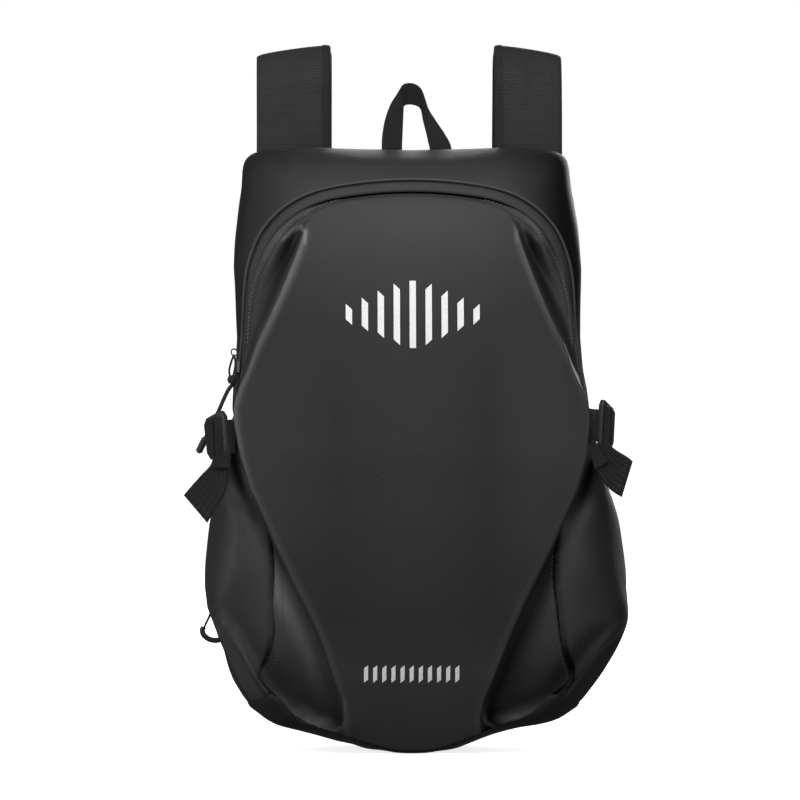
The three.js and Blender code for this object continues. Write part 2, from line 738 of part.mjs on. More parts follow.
function buildCompression() {
  for (const { name, sign, buckle, tail } of compression) {
    const middle = point(sign * across(buckle.out), deep(buckle.deep), high(buckle.high));
    const lengthways = point(sign * buckle.turn, 1, 0).normalize();
    const upwards = point(-sign * buckle.lean, 0, 1).normalize();
    const slots = [-0.24, 0.24].map((share, i) => ({
      x: share * buckleLength,
      size: buckleSlot,
      length: webWidth + 2 + i,
    }));
    const plate = slottedPlate(buckleLength, buckleHeight, buckleThickness, slots);
    add(`buckle_${name}`, placed(plate, middle, lengthways, upwards), "plastic");

    // The front web comes out from under the ridge and goes behind the buckle.
    const under = lengthways.clone().cross(upwards).multiplyScalar(-sign);
    const lift = buckleThickness / 2 + fitGap + webThickness / 2;
    const bar = middle.clone().addScaledVector(lengthways, -buckleLength * 0.1).addScaledVector(under, lift);
    const wall = skinAt(frontHalf, faceShares.length + 1, bar.z + webWidth / 2);
    const sewn = point(sign * (wall.x + 2 * fitGap), wall.y, bar.z);
    const straight = bar.clone().addScaledVector(lengthways, -buckleSlot);
    const frontPoints = [sewn, sewn.clone().lerp(straight, 0.5), straight, bar];
    const frontStations = bandStations(frontPoints, () => upwards);
    add(`front_web_${name}`, sweep(frontStations, flatSection(webWidth, webThickness)), "webbing");

    // The rear web leads from the buckle along the side to the edge of the back.
    const low = bar.z - webWidth / 2;
    const rearRow = [widestColumn, widestColumn + 1, widestColumn + 2, widestColumn + 3].map((column) => {
      const p = sideRest(column, low, webThickness / 2 + 2 * fitGap);
      return point(sign * p.x, p.y, bar.z);
    });
    const rearStart = bar.clone().addScaledVector(lengthways, buckleLength * 0.2);
    const rearStraight = rearStart.clone().addScaledVector(lengthways, buckleSlot);
    const rearPoints = [rearStart, rearStraight, ...rearRow];
    const rearStations = bandStations(rearPoints, (i) => (i < 2 ? upwards : point(0, 0, 1)));
    add(`rear_web_${name}`, sweep(rearStations, flatSection(webWidth, webThickness)), "webbing");

    // The free end of the web folds down over the buckle's lower corner and falls back.
    const foremost = middle.y - (lengthways.y * buckleLength) / 2 - (under.y * buckleThickness) / 2;
    const topDeep = foremost - webThickness / 2 - 2 * fitGap;
    const settle = tail.settle * bodyDepth;
    const tailPoint = ({ out, high: height }, back) => point(sign * across(out), topDeep + back, high(height));
    const tailPoints = [tailPoint(tail.top, 0), tailPoint(tail.root, settle * 0.1), tailPoint(tail.end, settle)];
    tailPoints.splice(2, 0, tailPoints[1].clone().lerp(tailPoints[2], 0.5).add(point(0, -settle * 0.1, 0)));
    const widthways = (i) => point(sign * tail.widthLean, i === 0 ? 0 : tail.widthDeep * (i / 3), 1);
    const tailStations = bandStations(tailPoints, widthways);
    add(`web_tail_${name}`, sweep(tailStations, flatSection(webWidth, webThickness)), "webbing");
  }
}

// The slider of the main zip hangs at its left end, with a knotted cord and a moulded tip.
const pullRoute = [
  [-0.836, 0.68, 0.612],
  [-0.862, 0.678, 0.6],
  [-0.882, 0.672, 0.586],
  [-0.905, 0.66, 0.568],
  [-0.929, 0.64, 0.55],
  [-0.953, 0.625, 0.533],
  [-0.97, 0.616, 0.521],
];

function buildZipPull() {
  const slider = archLine[archLine.length - 3].clone().lerp(zipLine[zipLine.length - 3], 0.4);
  const sliderWidth = tapeWidth * 0.6;
  const plate = slottedPlate(sliderWidth, sliderHeight, sliderThickness, []);
  const at = point(-slider.x - sliderThickness / 2 - sliderStand, slider.y, slider.z);
  add("zip_slider", placed(plate, at, point(0, 1, 0), point(0, 0, 1)), "metal");

  const start = at.clone().add(point(0, 0, -sliderHeight / 2 - 2 * fitGap));
  const route = [start, ...pullRoute.map(([out, depth, height]) => point(across(out), deep(depth), high(height)))];
  add("pull_cord", roundCord(route, pullCordRadius, 8, 18), "cord");

  const end = route[route.length - 1];
  const along = end.clone().sub(route[route.length - 2]).normalize();
  const tipPoints = [0, 0.3, 0.7, 1].map((share) =>
    end.clone().addScaledVector(along, fitGap + share * pullTipLength),
  );
  add("pull_tip", roundCord(tipPoints, pullCordRadius * 1.9, 8, 3), "rubber");
}

// Small pulls of the side pockets: a thin loop of cord with a curved moulded grip. The steps of the
// grip are shares of its length, outwards and down.
const gripSteps = [
  [0.014, 0.036],
  [0.07, 0.285],
  [0.014, 0.607],
  [-0.171, 0.857],
  [-0.429, 1],
];
const pocketRow = 7;
const pocketColumn = 4;

function buildPocketPulls() {
  for (const { name, sign } of sides) {
    const hang = lobe[pocketRow][pocketColumn];
    const away = 3 * fitGap + pocketCordRadius;
    const top = point(sign * (hang.x + away), hang.y, hang.z + 2 * pocketCordRadius);
    const cordEnd = top.clone().add(point(sign * pocketCordLength * 0.22, 0, -pocketCordLength));
    const cordPoints = [top, top.clone().lerp(cordEnd, 0.5), cordEnd];
    add(`pocket_cord_${name}`, roundCord(cordPoints, pocketCordRadius, 6, 4), "cord");
    const gripStart = cordEnd.clone().add(point(0, 0, -gripRadius * 0.4));
    const gripPoints = gripSteps.map(([out, fall]) =>
      gripStart.clone().add(point(sign * out * gripLength, 0, -fall * gripLength)),
    );
    add(`pocket_grip_${name}`, roundCord(gripPoints, gripRadius, 8, 8), "rubber");
  }
}

buildBody();
buildBackPads();
buildShoulderStraps();
buildLowerStraps();
buildHandle();
buildCompression();
buildZipPull();
buildPocketPulls();

export default backpack;
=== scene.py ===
# A motorcycle backpack with a moulded, lozenge-shaped front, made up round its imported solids.
# Metres, +Z up. The front faces -Y, and the origin is the middle of the base.
import math

import bpy
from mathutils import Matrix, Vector
from mathutils.kdtree import KDTree


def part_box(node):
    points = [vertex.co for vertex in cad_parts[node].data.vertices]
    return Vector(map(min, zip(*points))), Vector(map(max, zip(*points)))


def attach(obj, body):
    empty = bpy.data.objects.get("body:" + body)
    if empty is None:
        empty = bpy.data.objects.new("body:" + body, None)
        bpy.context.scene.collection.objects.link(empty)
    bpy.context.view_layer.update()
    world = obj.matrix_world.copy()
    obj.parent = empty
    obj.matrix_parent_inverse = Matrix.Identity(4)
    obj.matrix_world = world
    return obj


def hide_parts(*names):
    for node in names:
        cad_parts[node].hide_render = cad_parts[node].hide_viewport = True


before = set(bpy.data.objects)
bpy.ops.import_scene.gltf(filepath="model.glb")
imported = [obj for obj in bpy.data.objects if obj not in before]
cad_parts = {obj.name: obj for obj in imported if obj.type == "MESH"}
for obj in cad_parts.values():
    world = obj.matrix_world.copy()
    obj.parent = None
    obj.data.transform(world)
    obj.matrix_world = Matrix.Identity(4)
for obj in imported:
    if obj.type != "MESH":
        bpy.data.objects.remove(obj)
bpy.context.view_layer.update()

mm = 0.001


# Camera
# It stands far off, a little to the left of the bag and a little above its middle, as in the
# photograph, so that the sides show hardly any perspective.
camera_distance = 6.0
camera_yaw = math.radians(-0.8)
camera_rise = math.radians(1)
frame_width = 0.64
sensor_width = 36
aim = Vector((-9 * mm, 0, 280 * mm))
away = Vector((
    math.sin(camera_yaw) * math.cos(camera_rise),
    -math.cos(camera_yaw) * math.cos(camera_rise),
    math.sin(camera_rise),
))
bpy.ops.object.camera_add(
    location=aim + away * camera_distance,
    rotation=(math.pi / 2 - camera_rise, 0, camera_yaw),
)
camera = bpy.context.object
camera.data.sensor_width = sensor_width
camera.data.lens = sensor_width * camera_distance / frame_width
camera.data.clip_end = 100
bpy.context.scene.camera = camera


# Cord of the zip pull
# A thin braided cord hangs from a knot under the slider, passes behind the left buckle and ends
# in a moulded tip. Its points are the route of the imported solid.
def nodes_of(name):
    """A new material with its nodes and its shader."""
    material = bpy.data.materials.new(name)
    material.use_nodes = True
    nodes = material.node_tree.nodes
    return material, nodes, nodes["Principled BSDF"]


def feed(node, sockets):
    """Gives each socket of a node its value, or joins it to another node's output."""
    for name, value in sockets.items():
        if isinstance(value, bpy.types.NodeSocket):
            node.id_data.links.new(value, node.inputs[name])
        else:
            node.inputs[name].default_value = value


def add(nodes, kind, sockets, out=0, **settings):
    """Adds a node of a kind, with its sockets fed, and hands back one of its outputs."""
    node = nodes.new("ShaderNode" + kind)
    for name, value in settings.items():
        setattr(node, name, value)
    feed(node, sockets)
    return node.outputs[out]


def braided_cord():
    """Black braided cord: two sets of strands that cross round the cord."""
    material, nodes, shader = nodes_of("braided_cord")
    place = add(nodes, "UVMap", {})
    strands = {}
    for i, lean in enumerate((1, -1)):
        turned = add(nodes, "Mapping", {"Vector": place, "Scale": (46, 3 * lean, 1)})
        strands[i] = add(nodes, "TexWave", {"Vector": turned, "Scale": 1}, "Fac", bands_direction="DIAGONAL")
    cross = add(nodes, "Math", strands, operation="MULTIPLY")
    feed(shader, {
        "Base Color": add(nodes, "MapRange", {"Value": cross, "To Min": 0.006, "To Max": 0.022}),
        "Normal": add(nodes, "Bump", {"Height": cross, "Strength": 0.8, "Distance": 0.4 * mm}),
        "Roughness": 0.75,
    })
    return material


def smooth_route(points, steps):
    """Points close together on one smooth line through the given ones."""
    ends = [2 * points[0] - points[1]] + points + [2 * points[-1] - points[-2]]
    route = []
    for a, b, c, d in zip(ends, ends[1:], ends[2:], ends[3:]):
        for step in range(steps):
            t = step / steps
            bend = (2 * a - 5 * b + 4 * c - d) * t ** 2 + (3 * b - a - 3 * c + d) * t ** 3
            route.append(0.5 * (2 * b + (c - a) * t + bend))
    route.append(points[-1])
    return route


def line_of(name, route, closed=False):
    """A curve through the points of a route."""
    curve = bpy.data.curves.new(name, "CURVE")
    curve.dimensions = "3D"
    spline = curve.splines.new("POLY")
    spline.points.add(len(route) - 1)
    for spot, place in zip(spline.points, route):
        spot.co = (*place, 1)
    spline.use_cyclic_u = closed
    line = bpy.data.objects.new(name, curve)
    bpy.context.scene.collection.objects.link(line)
    return line


def choose(piece):
    """Makes a piece the only one that the next operator acts on."""
    bpy.ops.object.select_all(action="DESELECT")
    piece.select_set(True)
    bpy.context.view_layer.objects.active = piece


def shade(piece, sharp=None):
    """Shades a piece smooth all over, or only across edges under an angle in degrees."""
    choose(piece)
    if sharp:
        bpy.ops.object.shade_smooth_by_angle(angle=math.radians(sharp))
    else:
        bpy.ops.object.shade_smooth()


def thickened(line, radius, sides, sharp):
    """Gives a line a round section and turns it into a mesh."""
    name = line.name
    line.data.bevel_depth = radius
    line.data.bevel_resolution = sides
    line.data.use_fill_caps = not line.data.splines[0].use_cyclic_u
    choose(line)
    bpy.ops.object.convert(target="MESH")
    piece = bpy.context.object
    piece.name = name
    shade(piece, sharp)
    return piece


def round_cord(name, route, radius, sides=3, closed=False):
    """A round cord along a route, as a mesh whose U runs along it."""
    return thickened(line_of(name, route, closed), radius, sides, 50)


def finish_piece(piece, material, slot, *replaced):
    """Gives a piece its material, hangs it from the root empty and hides the imported solids it replaces."""
    piece.data.materials.clear()
    piece.data.materials.append(material)
    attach(piece, "root")
    if replaced:
        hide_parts(*replaced)


cord_finish = braided_cord()
pull_radius = 1.6 * mm
pull_points = [
    Vector((-140.8, -42.0, 300.4)) * mm,
    Vector((-141.3, -42.0, 295.0)) * mm,
    Vector((-145.7, -41.6, 289.2)) * mm,
    Vector((-149.1, -40.6, 282.5)) * mm,
    Vector((-152.9, -38.5, 273.8)) * mm,
    Vector((-157.0, -35.1, 265.1)) * mm,
    Vector((-161.1, -32.5, 256.9)) * mm,
    Vector((-163.9, -31.0, 251.1)) * mm,
]
pull_route = smooth_route(pull_points, 4)
pull_cord = round_cord("pull_cord_braided", pull_route, pull_radius)
finish_piece(pull_cord, cord_finish, "cord", "pull_cord")


# Stage
# A plain pale floor under a white sky, with soft light from above and in front, and more from the left
# than from the right.
bpy.context.scene.view_settings.view_transform = "Standard"
bpy.ops.mesh.primitive_grid_add(x_subdivisions=8, y_subdivisions=8, size=60, location=(0, 0, -0.2 * mm))
floor = bpy.context.object
floor.name = "floor"
floor_paint, nodes, shader = nodes_of("floor_paint")
white = (1, 1, 1, 1)
feed(shader, {
    "Base Color": (0.9, 0.9, 0.9, 1),
    "Roughness": 0.9,
    "Specular IOR Level": 0.1,
    "Emission Color": white,
    "Emission Strength": 0.8,
})
floor.data.materials.append(floor_paint)
floor.visible_diffuse = False
floor.visible_glossy = False

sky = bpy.data.worlds.new("sky")
bpy.context.scene.world = sky
sky.use_nodes = True
nodes = sky.node_tree.nodes
seen = add(nodes, "LightPath", {}, "Is Camera Ray")
feed(nodes["Background"], {
    "Color": white,
    "Strength": add(nodes, "MapRange", {"Value": seen, "To Min": 0.1, "To Max": 1}),
})


def soft_panel(name, place, target, width, height, power):
    """A softbox at a place, facing a target."""
    bpy.ops.object.light_add(type="AREA", location=place)
    lamp = bpy.context.object
    lamp.name = name
    lamp.rotation_euler = (Vector(target) - Vector(place)).to_track_quat("-Z", "Y").to_euler()
    lamp.data.shape = "RECTANGLE"
    lamp.data.size = width
    lamp.data.size_y = height
    lamp.data.energy = power


bpy.ops.object.light_add(type="SUN", rotation=(math.radians(40), 0, math.radians(-4)))
sun = bpy.context.object
sun.data.energy = 1.3
sun.data.angle = math.radians(105)
soft_panel("softbox_front", (0.2, -3.4, 0.2), (0, 0, 0.1), 1.8, 0.4, 25)
soft_panel("softbox_top", (0.04, -0.8, 1.05), (0, 0, 0.42), 0.8, 0.5, 8.5)
soft_panel("softbox_left", (-2.5, -0.5, 0.9), (0, 0, 0.25), 0.6, 1.4, 24)
soft_panel("softbox_back", (0.8, 3.2, 1.1), (0, 0, 0.25), 2.2, 1.2, 75)


# Front shell
# The moulded front is coated cloth over foam. Its raised middle ends in a crisp ridge, and its
# edges are turned in and stitched along the zip and the side panels.
def edit_all(piece, operator, **settings):
    """Runs an edit-mode operator on the whole mesh of a piece."""
    choose(piece)
    bpy.ops.object.mode_set(mode="EDIT")
    bpy.ops.mesh.select_all(action="SELECT")
    operator(**settings)
    bpy.ops.object.mode_set(mode="OBJECT")


def merged_copy(node, name):
    """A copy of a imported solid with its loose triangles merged."""
    piece = bpy.data.objects.new(name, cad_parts[node].data.copy())
    bpy.context.scene.collection.objects.link(piece)
    choose(piece)
    bpy.ops.mesh.customdata_custom_splitnormals_clear()
    edit_all(piece, bpy.ops.mesh.remove_doubles, threshold=0.01 * mm)
    return piece


def select_none(piece, kind):
    """Starts to edit a piece with none of its faces, edges or corners selected."""
    choose(piece)
    bpy.ops.object.mode_set(mode="EDIT")
    bpy.ops.mesh.select_mode(type=kind)
    bpy.ops.mesh.select_all(action="DESELECT")


def select_parts(piece, kind, wanted):
    """Selects the faces or edges whose corners are wanted, and leaves the piece in edit mode."""
    select_none(piece, kind)
    bpy.ops.object.mode_set(mode="OBJECT")
    spots = piece.data.vertices
    for part in piece.data.polygons if kind == "FACE" else piece.data.edges:
        part.select = bool(wanted([spots[i].co for i in part.vertices]))
    bpy.ops.object.mode_set(mode="EDIT")


def pair_triangles(piece):
    """Turns the triangles of a piece into its rows of quads."""
    flat = math.radians(178)
    edit_all(
        piece, bpy.ops.mesh.tris_convert_to_quads,
        face_threshold=flat, shape_threshold=flat, topology_influence=2,
    )


def paired_copy(node, name):
    """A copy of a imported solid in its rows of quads."""
    piece = merged_copy(node, name)
    pair_triangles(piece)
    return piece


def on_cut_edge(corners):
    """Whether a face lies on the cut edge of a panel, which is as wide as the panel is thick."""
    return min((a - b).length for a, b in zip(corners, corners[1:] + corners[:1])) < cut_edge


def outer_skin(node, name):
    """The outer skin of a panel: its cut edge goes, and of its two walls the larger stays."""
    piece = merged_copy(node, name)
    select_parts(piece, "FACE", on_cut_edge)
    bpy.ops.mesh.delete(type="FACE")
    bpy.ops.mesh.select_all(action="SELECT")
    bpy.ops.mesh.separate(type="LOOSE")
    bpy.ops.object.mode_set(mode="OBJECT")
    walls = sorted(bpy.context.selected_objects, key=lambda wall: sum(f.area for f in wall.data.polygons))
    for wall in walls[:-1]:
        bpy.data.objects.remove(wall)
    skin = walls[-1]
    skin.name = name
    pair_triangles(skin)
    return skin


def apply_modifier(piece, kind, **settings):
    """Adds a modifier to a piece and applies it."""
    choose(piece)
    bpy.ops.object.modifier_add(type=kind)
    modifier = piece.modifiers[-1]
    for name, value in settings.items():
        setattr(modifier, name, value)
    bpy.ops.object.modifier_apply(modifier=modifier.name)


def round_edges(piece, width, segments):
    """Rounds the sharp edges of a piece."""
    apply_modifier(
        piece, "BEVEL", width=width, segments=segments, limit_method="ANGLE", angle_limit=math.radians(50)
    )


def refine(piece, levels):
    """Adds levels of subdivision to a skin."""
    apply_modifier(
        piece, "SUBSURF", levels=levels, render_levels=levels, boundary_smooth="PRESERVE_CORNERS"
    )


def twin_of(piece, name):
    """A copy of a piece with a mesh of its own."""
    twin = piece.copy()
    twin.data = piece.data.copy()
    twin.name = name
    bpy.context.scene.collection.objects.link(twin)
    return twin


def smooth_surface(piece, levels, through=False):
    """Refines a skin into a smooth surface, which may go through the corners of the coarse one."""
    if through:
        trial = twin_of(piece, "trial")
        refine(trial, 1)
        for spot in piece.data.vertices:
            spot.co += (spot.co - trial.data.vertices[spot.index].co) * pull_back
        bpy.data.objects.remove(trial)
    refine(piece, levels)
    shade(piece)


def turn_in_edges(piece, roll, depth):
    """Rolls the free edges of a skin over and turns them in, as at a sewn seam."""
    select_none(piece, "EDGE")
    bpy.ops.mesh.select_non_manifold(extend=False, use_boundary=True)
    bpy.ops.transform.shrink_fatten(value=-roll)
    bpy.ops.mesh.extrude_region_move()
    bpy.ops.transform.shrink_fatten(value=-depth)
    bpy.ops.object.mode_set(mode="OBJECT")


def ramp(nodes, value, *stops):
    """A ramp of colour between stops, each a place on the ramp and its colour."""
    node = nodes.new("ShaderNodeValToRGB")
    feed(node, {"Fac": value})
    for stop, (place, colour) in zip(node.color_ramp.elements, stops):
        stop.position = place
        stop.color = (*colour, 1)
    return node.outputs["Color"]


def scaled(colour, share):
    """A colour made lighter or darker."""
    return [part * share for part in colour]


def coated_cloth(name, colour, grain):
    """Matt coated cloth: a fine leathery grain with slow changes of tone and gloss, and painted highlights
    and shade from a point attribute that scales its colour and gloss.
    """
    material, nodes, shader = nodes_of(name)
    place = add(nodes, "TexCoord", {}, "Object")
    fine = add(nodes, "TexNoise", {"Vector": place, "Scale": 1500, "Detail": 3})
    cells = add(nodes, "TexVoronoi", {"Vector": place, "Scale": 1100})
    slow = add(nodes, "TexNoise", {"Vector": place, "Scale": 9, "Detail": 4})
    height = add(nodes, "Math", {0: fine, 1: cells}, operation="ADD")
    mottle = add(nodes, "Math", {0: fine, 1: 0.35, 2: slow}, operation="MULTIPLY_ADD")
    tone = ramp(nodes, mottle, (0.35, scaled(colour, 0.82)), (0.95, scaled(colour, 1.18)))
    # Painted light and shade: the attribute scales the colour up for painted highlights and down for painted
    # shade, and lowers the gloss in the painted shade.
    painted_light = add(nodes, "Attribute", {}, "Fac", attribute_name="painted_light")
    painted_light_range = {"Value": painted_light, "From Min": -1}
    light = add(nodes, "MapRange", {**painted_light_range, "To Min": 0.1, "To Max": 1.9}, clamp=False)
    painted_sheen = add(nodes, "MapRange", {**painted_light_range, "From Max": 0, "To Min": 0.04, "To Max": 0.4})
    feed(shader, {
        "Base Color": add(nodes, "VectorMath", {"Vector": tone, "Scale": light}, operation="SCALE"),
        "Roughness": add(nodes, "MapRange", {"Value": slow, "To Min": 0.52, "To Max": 0.68}),
        "Specular IOR Level": painted_sheen,
        "Normal": add(nodes, "Bump", {"Height": height, "Strength": grain, "Distance": 0.12 * mm}),
    })
    return material


pull_back = 1.2
cut_edge = 1.25 * mm
ridge_rows = [
    (84, 419), (91, 397), (100, 374), (112, 346), (125, 319), (138, 292), (143, 275), (141, 256),
    (138, 236), (130, 210), (120, 188), (109, 164), (97, 140), (84, 114), (73, 88), (64, 64), (56, 43),
    (53, 27), (54, 17), (53, 10),
]
lean_rows = [
    (0, 1.0), (50, 4.0), (80, 6.0), (105, 6.0), (130, 3.5), (200, 2.5), (250, 0.5), (300, -2.5),
    (350, -4.0), (420, -4.5), (465, -6.5), (500, -5.0),
]
waist_rows = [(262, 0), (290, 2), (305, 4), (330, 5), (358, 3.2), (386, 1), (440, 1), (460, 2)]
left_rows = [(55, 0), (66, 1.5), (80, 3.5), (98, 3.0), (115, 0)]
lift_rows = {
    -1: [(15, 0), (25, 1.4), (46, 3), (60, 1.2), (85, 0)],
    1: [
        (15, 0), (27, 1.2), (43, 3.8), (55, 4.8), (65, 5.7), (84, 5.2), (98, 3.8), (108, 3.2), (120, 1),
        (130, 0),
    ],
}
lift_end = 60
lean_reach = 169
waist_start = 118
waist_end = 140
hollow_rows = [
    (10, 0, 20), (17, 1, 22), (24, 4, 30), (33, 7, 38), (48, 8, 44), (70, 6, 44), (95, 3, 36),
    (120, 0.8, 24), (160, 0, 14), (180, 1.5, 15), (195, 4, 18), (212, 8, 24), (228, 9, 26), (243, 5, 22),
    (260, 1, 16), (275, 0, 14), (305, 1, 14), (330, 3, 15), (355, 4.5, 15), (380, 6.5, 14),
    (398, 8.5, 12.5), (408, 8, 11.5), (414, 5.5, 11), (419, 1, 11),
]
upper_bend = 0.48
lower_bends = {-1: 1.0, 1: 0.6}
hollow_power = 1.3
bulge_rows = [(340, 0), (365, 2.5), (385, 5), (400, 6), (412, 4), (420, 1)]
bulge_place = 16.5
bulge_width = 6.5
groove_rows = [(10, 0), (15, 1.2), (25, 2.2), (60, 1.8), (150, 1.5), (190, 1.0), (215, 0), (420, 0)]
groove_width = 4.5
groove_bend = 0.8
upper_ridge = 285
lip_width = 3.5
lip_height = 0.9 * mm


def read_rows(rows, at, column=1):
    """A value from rows in rising order, at a place between them."""
    if at <= rows[0][0]:
        return rows[0][column]
    for low, top in zip(rows, rows[1:]):
        if at <= top[0]:
            share = (at - low[0]) / (top[0] - low[0])
            return low[column] + (top[column] - low[column]) * share
    return rows[-1][column]


def share_of(at, start, end):
    """How far a value has come from a start to an end, from 0 to 1."""
    return min(max((at - start) / (end - start), 0), 1)


def side_of(place):
    """The side of the bag that a place is on: -1 for the left, 1 for the right."""
    return 1 if place.x > 0 else -1


def bump_of(at, place, width):
    """A soft bump, one at its place and nothing two widths away."""
    return math.exp(-((at - place) / width) ** 2)


def off_line(place, rows):
    """How far a place lies outside a line of rows, in millimetres, and how high its foot is."""
    spot = Vector((abs(place.x), place.z)) / mm
    line = [Vector(row) for row in rows]
    nearest = (math.inf, 0)
    for a, b in zip(line, line[1:]):
        run = b - a
        foot = a + run * min(max((spot - a).dot(run) / run.dot(run), 0), 1)
        gap = spot - foot
        if gap.length < abs(nearest[0]):
            nearest = (math.copysign(gap.length, gap.dot(Vector((-run.y, run.x)))), foot.y)
    return nearest


def press_hollows(piece):
    """Presses the cloth in outside the ridge: long hollows, and a narrow groove at its foot."""
    for spot in piece.data.vertices:
        outside, height = off_line(spot.co, ridge_rows)
        width = read_rows(hollow_rows, height, 2)
        bend = upper_bend if height > upper_ridge else lower_bends[side_of(spot.co)]
        if 0 < outside < width:
            wave = math.sin(math.pi * (outside / width) ** bend) ** hollow_power
            spot.co.y += read_rows(hollow_rows, height) * wave * mm
        spot.co.y -= read_rows(bulge_rows, height) * bump_of(outside, bulge_place, bulge_width) * mm
        if height > upper_ridge and abs(outside) < lip_width:
            spot.co.y -= lip_height * math.cos(math.pi / 2 * outside / lip_width) ** 2
        if 0 < outside < groove_width:
            wave = math.sin(math.pi * (outside / groove_width) ** groove_bend)
            spot.co.y += read_rows(groove_rows, height) * wave * mm


def leaned(place):
    """Where a place goes when the filled bag leans: shoulders left, lower sides right, waist in."""
    across = abs(place.x) / mm
    height = place.z / mm
    spread = min(across / lean_reach, 1) ** 2
    outer = share_of(across, waist_start, waist_end)
    draw_in = read_rows(waist_rows, height) * outer ** 2 * (3 - 2 * outer)
    if place.x < 0:
        draw_in += read_rows(left_rows, height) * spread
    move = read_rows(lean_rows, height) * spread - math.copysign(draw_in, place.x)
    lift = read_rows(lift_rows[side_of(place)], across) * share_of(height, lift_end, 0)
    return place + Vector((move, 0, lift)) * mm


def lean_over(piece):
    """Leans a whole piece with the bag."""
    for spot in piece.data.vertices:
        spot.co = leaned(spot.co)


def near_corner(place, rows, reach):
    """Whether a place is within reach of a corner of a line of rows."""
    return any(math.hypot(abs(place.x) - x * mm, place.z - z * mm) < reach for x, z in rows)


def on_ridge(ends):
    """Whether an edge of the coarse skin lies along the ridge of the raised middle."""
    return ends[0].x * ends[1].x > 0 and all(near_corner(end, ridge_rows, 1.2 * mm) for end in ends)


# The painted highlights and painted shade follow the ridge, the rim and the folds, and the seams are darkened
# as dark joints. Their rows give strengths up the ridge, and each spot gives how far outside its line a mark
# lies and how wide it is, in millimetres.
# Painted highlight along the ridge, stronger on the left.
ridge_highlight_rows = {
    -1: [
        (15, 1.2), (120, 1.2), (190, 1.5), (235, 3.6), (262, 4.2), (300, 4.2), (400, 4.4), (412, 3),
        (419, 0),
    ],
    1: [(15, 0.8), (120, 0.7), (220, 0.7), (300, 1.1), (400, 1.6), (412, 1.5), (419, 0)],
}
ridge_highlight_spot = (-2.0, 2.6)
# Painted shade in the hollows outside the ridge.
hollow_shade_rows = [
    (30, 0.35), (80, 0.3), (120, 0), (180, 0.2), (200, 0.6), (215, 0.95), (245, 1.1), (262, 0.6),
    (300, 0.2), (340, 0.35), (370, 0.7), (402, 0.85), (411, 0.5), (416, 0),
]
hollow_shade_spot = (6.0, 5)
# Painted light and shade on the raised middle by height: much lighter near the base, where it turns under,
# and darker above.
face_light_rows = [
    (0, 2.4), (25, 1.9), (50, 0.6), (75, -0.12), (110, -0.35), (250, -0.36), (340, -0.42), (390, -0.3),
    (425, -0.1), (440, -0.05),
]
# Painted light on the outer parts of the raised middle, by height; the yoke takes the same span across for
# its painted shade.
side_shading_start = 60
side_shading_end = 120
side_shading_rows = [(80, 0.3), (180, 1), (300, 1), (340, 0.3), (390, -0.3)]
# Painted highlights on the shell's left side outside the ridge: low down and near the top.
lit_spot = (14, 8)
lit_rows = [(40, 0), (70, 2), (95, 3.4), (125, 5.5), (150, 5.5), (180, 2.5), (205, 0)]
soft_highlight_spot = (18, 5)
soft_highlight_rows = [(365, 0), (385, 1.2), (405, 1.3), (418, 0.3)]
# Painted shade outside the ridge on the right side.
valley_shade_spot = (8, 6)
valley_shade_rows = [(15, 0.1), (50, 0.2), (110, 0.2), (150, 0.1), (180, 0)]
shade_rows = [(15, 0.15), (190, 0.15), (235, 0)]
# Painted highlights along the rim round the ridge's top end, the U-shaped lower ends of the ridge and the
# folds of the side panels, with painted light just above each fold, painted shade further above it and
# painted light below it on the left.
rim_highlight_rows = [(101, 408), (93, 416.5), (87.5, 418), (83.5, 414.5), (84, 406)]
u_highlight_lines = {
    -1: [(54, 42), (53.5, 26), (55, 21), (60, 18), (67, 18), (76, 21.5)],
    1: [(54, 35), (58, 22.4), (66, 16), (78, 17.6)],
}
fold_highlight_lines = {
    -1: [(162, 111), (141, 80), (125, 58), (114, 44), (104, 32), (91, 22.5), (62, 12)],
    1: [(163, 98), (144, 80), (128, 57), (117, 40), (101, 28), (77.5, 17.6)],
}
highlight_line_spot = (0, 1.3)
fold_highlight_spot = (0.3, 1.0)
above_fold_light_spot = (5, 3)
shade_spot = (15, 8)
seam_spot = (0, 1.9)
fold_top = 128
fold_full = 98
fold_depth = -30 * mm
under_light_start = 20
under_light_full = -4
seam_top = 200
seam_inside = 80
seam_reach = 4
# How strongly each painted highlight and painted shade is laid on each side of the bag: the lamps are
# stronger on the left.
painted_light_strengths = {
    -1: {"rim": 7, "wide": 0.3, "u": 2.4, "fold": 3.2, "above": 1.0, "shade": 0.3, "under": 2.6},
    1: {"rim": 2.5, "wide": 0.6, "u": 1.6, "fold": 2.4, "above": 0.5, "shade": 0.5, "under": 0},
}
seam_dark = 1.5
seam_light = 8
darkest = -1.05


def free_edges(piece):
    """The places along the free edges of a skin, ready to be searched."""
    uses = {}
    for face in piece.data.polygons:
        for key in face.edge_keys:
            uses[key] = uses.get(key, 0) + 1
    spots = piece.data.vertices
    places = []
    for (a, b), count in uses.items():
        if count == 1:
            places += [spots[a].co.lerp(spots[b].co, share) for share in (0, 0.33, 0.67)]
    tree = KDTree(len(places))
    for i, place in enumerate(places):
        tree.insert(place, i)
    tree.balance()
    return tree


